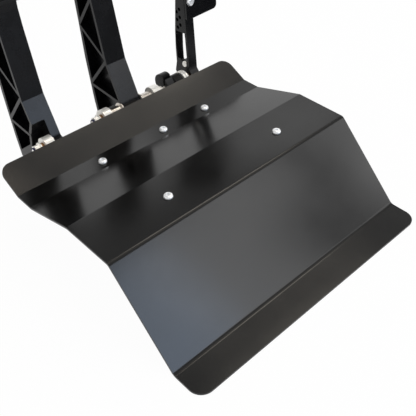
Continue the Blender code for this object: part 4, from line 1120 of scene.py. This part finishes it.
@dataclass(frozen=True)
class Softbox:
    """A soft lamp that shows in the black finishes as a pale patch of a known brightness.

    Its azimuth runs from +Y towards +X, and all its angles are in degrees.
    """

    name: str
    azimuth: float
    elevation: float
    wide: float
    high: float
    brightness: float
    tint: Colour = WHITE
    distance: float = 2.2
    target: Place = (0.0, -0.12, 0.06)

    def build(self) -> None:
        """Add the lamp."""
        turn, rise = math.radians(self.azimuth), math.radians(self.elevation)
        away = Vector((math.sin(turn) * math.cos(rise), math.cos(turn) * math.cos(rise), math.sin(rise)))
        data = bpy.data.lights.new(self.name, "AREA")
        data.shape = "RECTANGLE"
        data.size = self._span(self.wide)
        data.size_y = self._span(self.high)
        data.color = self.tint
        data.energy = self.brightness * math.pi * data.size * data.size_y
        lamp = stand(self.name, data)
        lamp.location = Vector(self.target) + away * self.distance
        lamp.rotation_euler = (-away).to_track_quat("-Z", "Y").to_euler()

    def _span(self, angle: float) -> float:
        """Return the width that fills an angle at the lamp's distance."""
        return 2.0 * self.distance * math.tan(math.radians(angle) / 2.0)


@dataclass(frozen=True)
class Flag:
    """A black card out of the picture that only reflections see."""

    name: str
    corner: Place
    across: Place
    up: Place
    shade: Colour = (0.01, 0.01, 0.01)

    def build(self) -> None:
        """Stand the card in its place."""
        bm = bmesh.new()
        start, across, up = Vector(self.corner), Vector(self.across), Vector(self.up)
        points = (start, start + across, start + across + up, start + up)
        bm.faces.new([bm.verts.new(point) for point in points])
        card = stand(self.name, mesh_from(self.name, bm))
        material, graph = blank_material(self.name)
        graph.surface(graph.node("ShaderNodeBsdfDiffuse", {}, {"Color": self.shade}))
        card.data.materials.append(material)
        card.visible_camera = False
        card.visible_diffuse = False
        card.visible_shadow = False


@dataclass
class Studio:
    """White studio: floor, world, lamps, cards and the camera at the photograph's viewpoint.

    The levels are the world's brightness by the sine of the elevation, before the gain.
    """

    camera_place: Place = (-0.3978, -0.5356, 0.5362)
    camera_forward: Place = (0.5105, 0.5378, -0.6709)
    focal_px: float = 644.1
    frame_px: float = 416.0
    sensor: float = 36.0
    clip_start: float = 0.01
    floor_size: float = 8.0
    floor_drop: float = 0.05 * MM
    floor_shade: Colour = (0.80, 0.80, 0.80)
    floor_white: float = 0.97
    floor_gloss: float = 0.6
    boxes: tuple[Softbox, ...] = (
        Softbox("front_high_softbox", 144.0, 35.5, 20.0, 13.0, 2.45),
        Softbox("front_low_softbox", 148.0, 21.0, 13.0, 16.0, 2.25),
        Softbox("blue_softbox", 163.0, 26.0, 17.0, 32.0, 3.5, (0.74, 0.92, 1.2)),
        Softbox("right_softbox", 118.0, 22.0, 18.0, 30.0, 1.65),
        Softbox("right_low_softbox", 127.0, 19.0, 7.5, 11.0, 1.65, distance=2.0),
        Softbox("side_softbox", 54.5, 35.0, 13.0, 9.0, 0.66),
        Softbox("high_crest_lamp", 62.0, 65.5, 7.0, 7.0, 5.6, WARM, 1.9),
        Softbox("middle_crest_lamp", 69.0, 59.0, 7.0, 7.0, 5.6, WARM, 1.9),
        Softbox("low_crest_lamp", 75.0, 52.5, 7.0, 7.0, 5.6, WARM, 1.9),
        Softbox("back_softbox", 27.0, 37.0, 14.0, 10.0, 1.1),
        Softbox("overhead_softbox", 93.0, 58.0, 40.0, 24.0, 0.50, (1.0, 0.91, 0.80)),
        Softbox("zenith_lamp", 70.0, 86.0, 12.0, 12.0, 6.8, (1.0, 0.86, 0.70)))
    flags: tuple[Flag, ...] = (
        Flag("front_flag", (-0.2, -1.2, 0.0), (1.6, 0.0, 0.0), (0.0, 0.0, 0.24)),
        Flag("right_flag", (0.34, -0.9, 0.002), (0.9, 0.0, 0.0), (0.0, 1.2, 0.0)),
        Flag("throttle_flag", (0.271, 0.243, 0.391), (0.064, -0.064, 0.0), (-0.044, -0.044, 0.078)))
    levels: tuple[Point, ...] = ((0.0, 0.80), (0.14, 0.72), (0.28, 0.76), (0.5, 0.56), (0.57, 0.49),
                                 (0.615, 0.62), (0.65, 0.40), (0.69, 0.36), (0.84, 0.42), (1.0, 0.48))
    gain: float = 1.35

    def build(self) -> None:
        """Make the camera, the floor, the world, the lamps and the cards."""
        self._camera()
        self._floor()
        self._world()
        for item in self.boxes + self.flags:
            item.build()
        bpy.context.scene.view_settings.view_transform = "Standard"

    def _camera(self) -> None:
        """Place the camera."""
        data = bpy.data.cameras.new("photo_camera")
        data.sensor_width = self.sensor
        data.lens = self.focal_px * self.sensor / self.frame_px
        data.clip_start = self.clip_start
        camera = stand("photo_camera", data)
        camera.location = self.camera_place
        camera.rotation_euler = Vector(self.camera_forward).to_track_quat("-Z", "Y").to_euler()
        bpy.context.scene.camera = camera

    def _floor(self) -> None:
        """Lay the white floor, which keeps the object's shadow."""
        bm = bmesh.new()
        bmesh.ops.create_grid(bm, x_segments=1, y_segments=1, size=self.floor_size / 2.0)
        bmesh.ops.translate(bm, verts=bm.verts[:], vec=(0.0, 0.0, -self.floor_drop))
        floor = stand("studio_floor", mesh_from("studio_floor", bm))
        material, graph = blank_material("studio_white")
        seen = graph.node("ShaderNodeLightPath", output="Is Camera Ray")
        mirrored = graph.node("ShaderNodeLightPath", output="Is Glossy Ray")
        share = (seen * self.floor_white).or_more(mirrored * self.floor_gloss)
        matt = graph.node("ShaderNodeBsdfDiffuse", {}, {"Color": self.floor_shade})
        glow = graph.node("ShaderNodeEmission", {}, {"Color": WHITE, "Strength": 1.0})
        graph.surface(graph.node("ShaderNodeMixShader", {}, {0: share, 1: matt, 2: glow}))
        floor.data.materials.append(material)

    def _world(self) -> None:
        """Fill the world: white for the camera, and for the light bright low down and dimmer overhead."""
        world = bpy.data.worlds.new("studio_world")
        world.use_nodes = True
        bpy.context.scene.world = world
        graph = Graph(world.node_tree)
        direction = graph.node("ShaderNodeTexCoord", output="Generated")
        height = graph.node("ShaderNodeSeparateXYZ", {}, {0: direction}, output="Z")
        seen = graph.node("ShaderNodeLightPath", output="Is Camera Ray")
        strength = seen.or_more(graph.ramp(height, self.levels) * self.gain)
        shine = graph.node("ShaderNodeBackground", {}, {"Color": WHITE, "Strength": strength})
        graph.node("ShaderNodeOutputWorld", {}, {"Surface": shine})


def main() -> None:
    """Build the studio and dress every sub-assembly."""
    logging.basicConfig(level=logging.INFO, format="%(name)s: %(message)s")
    Studio().build()
    screws = HeelScrews()
    HeelPlate().build(screws.seats())
    screws.build()
    for assembly in (RoundPieces(), ReturnSpring(), Pedals(), Underside()):
        assembly.build()


if __name__ == "__main__":
    main()
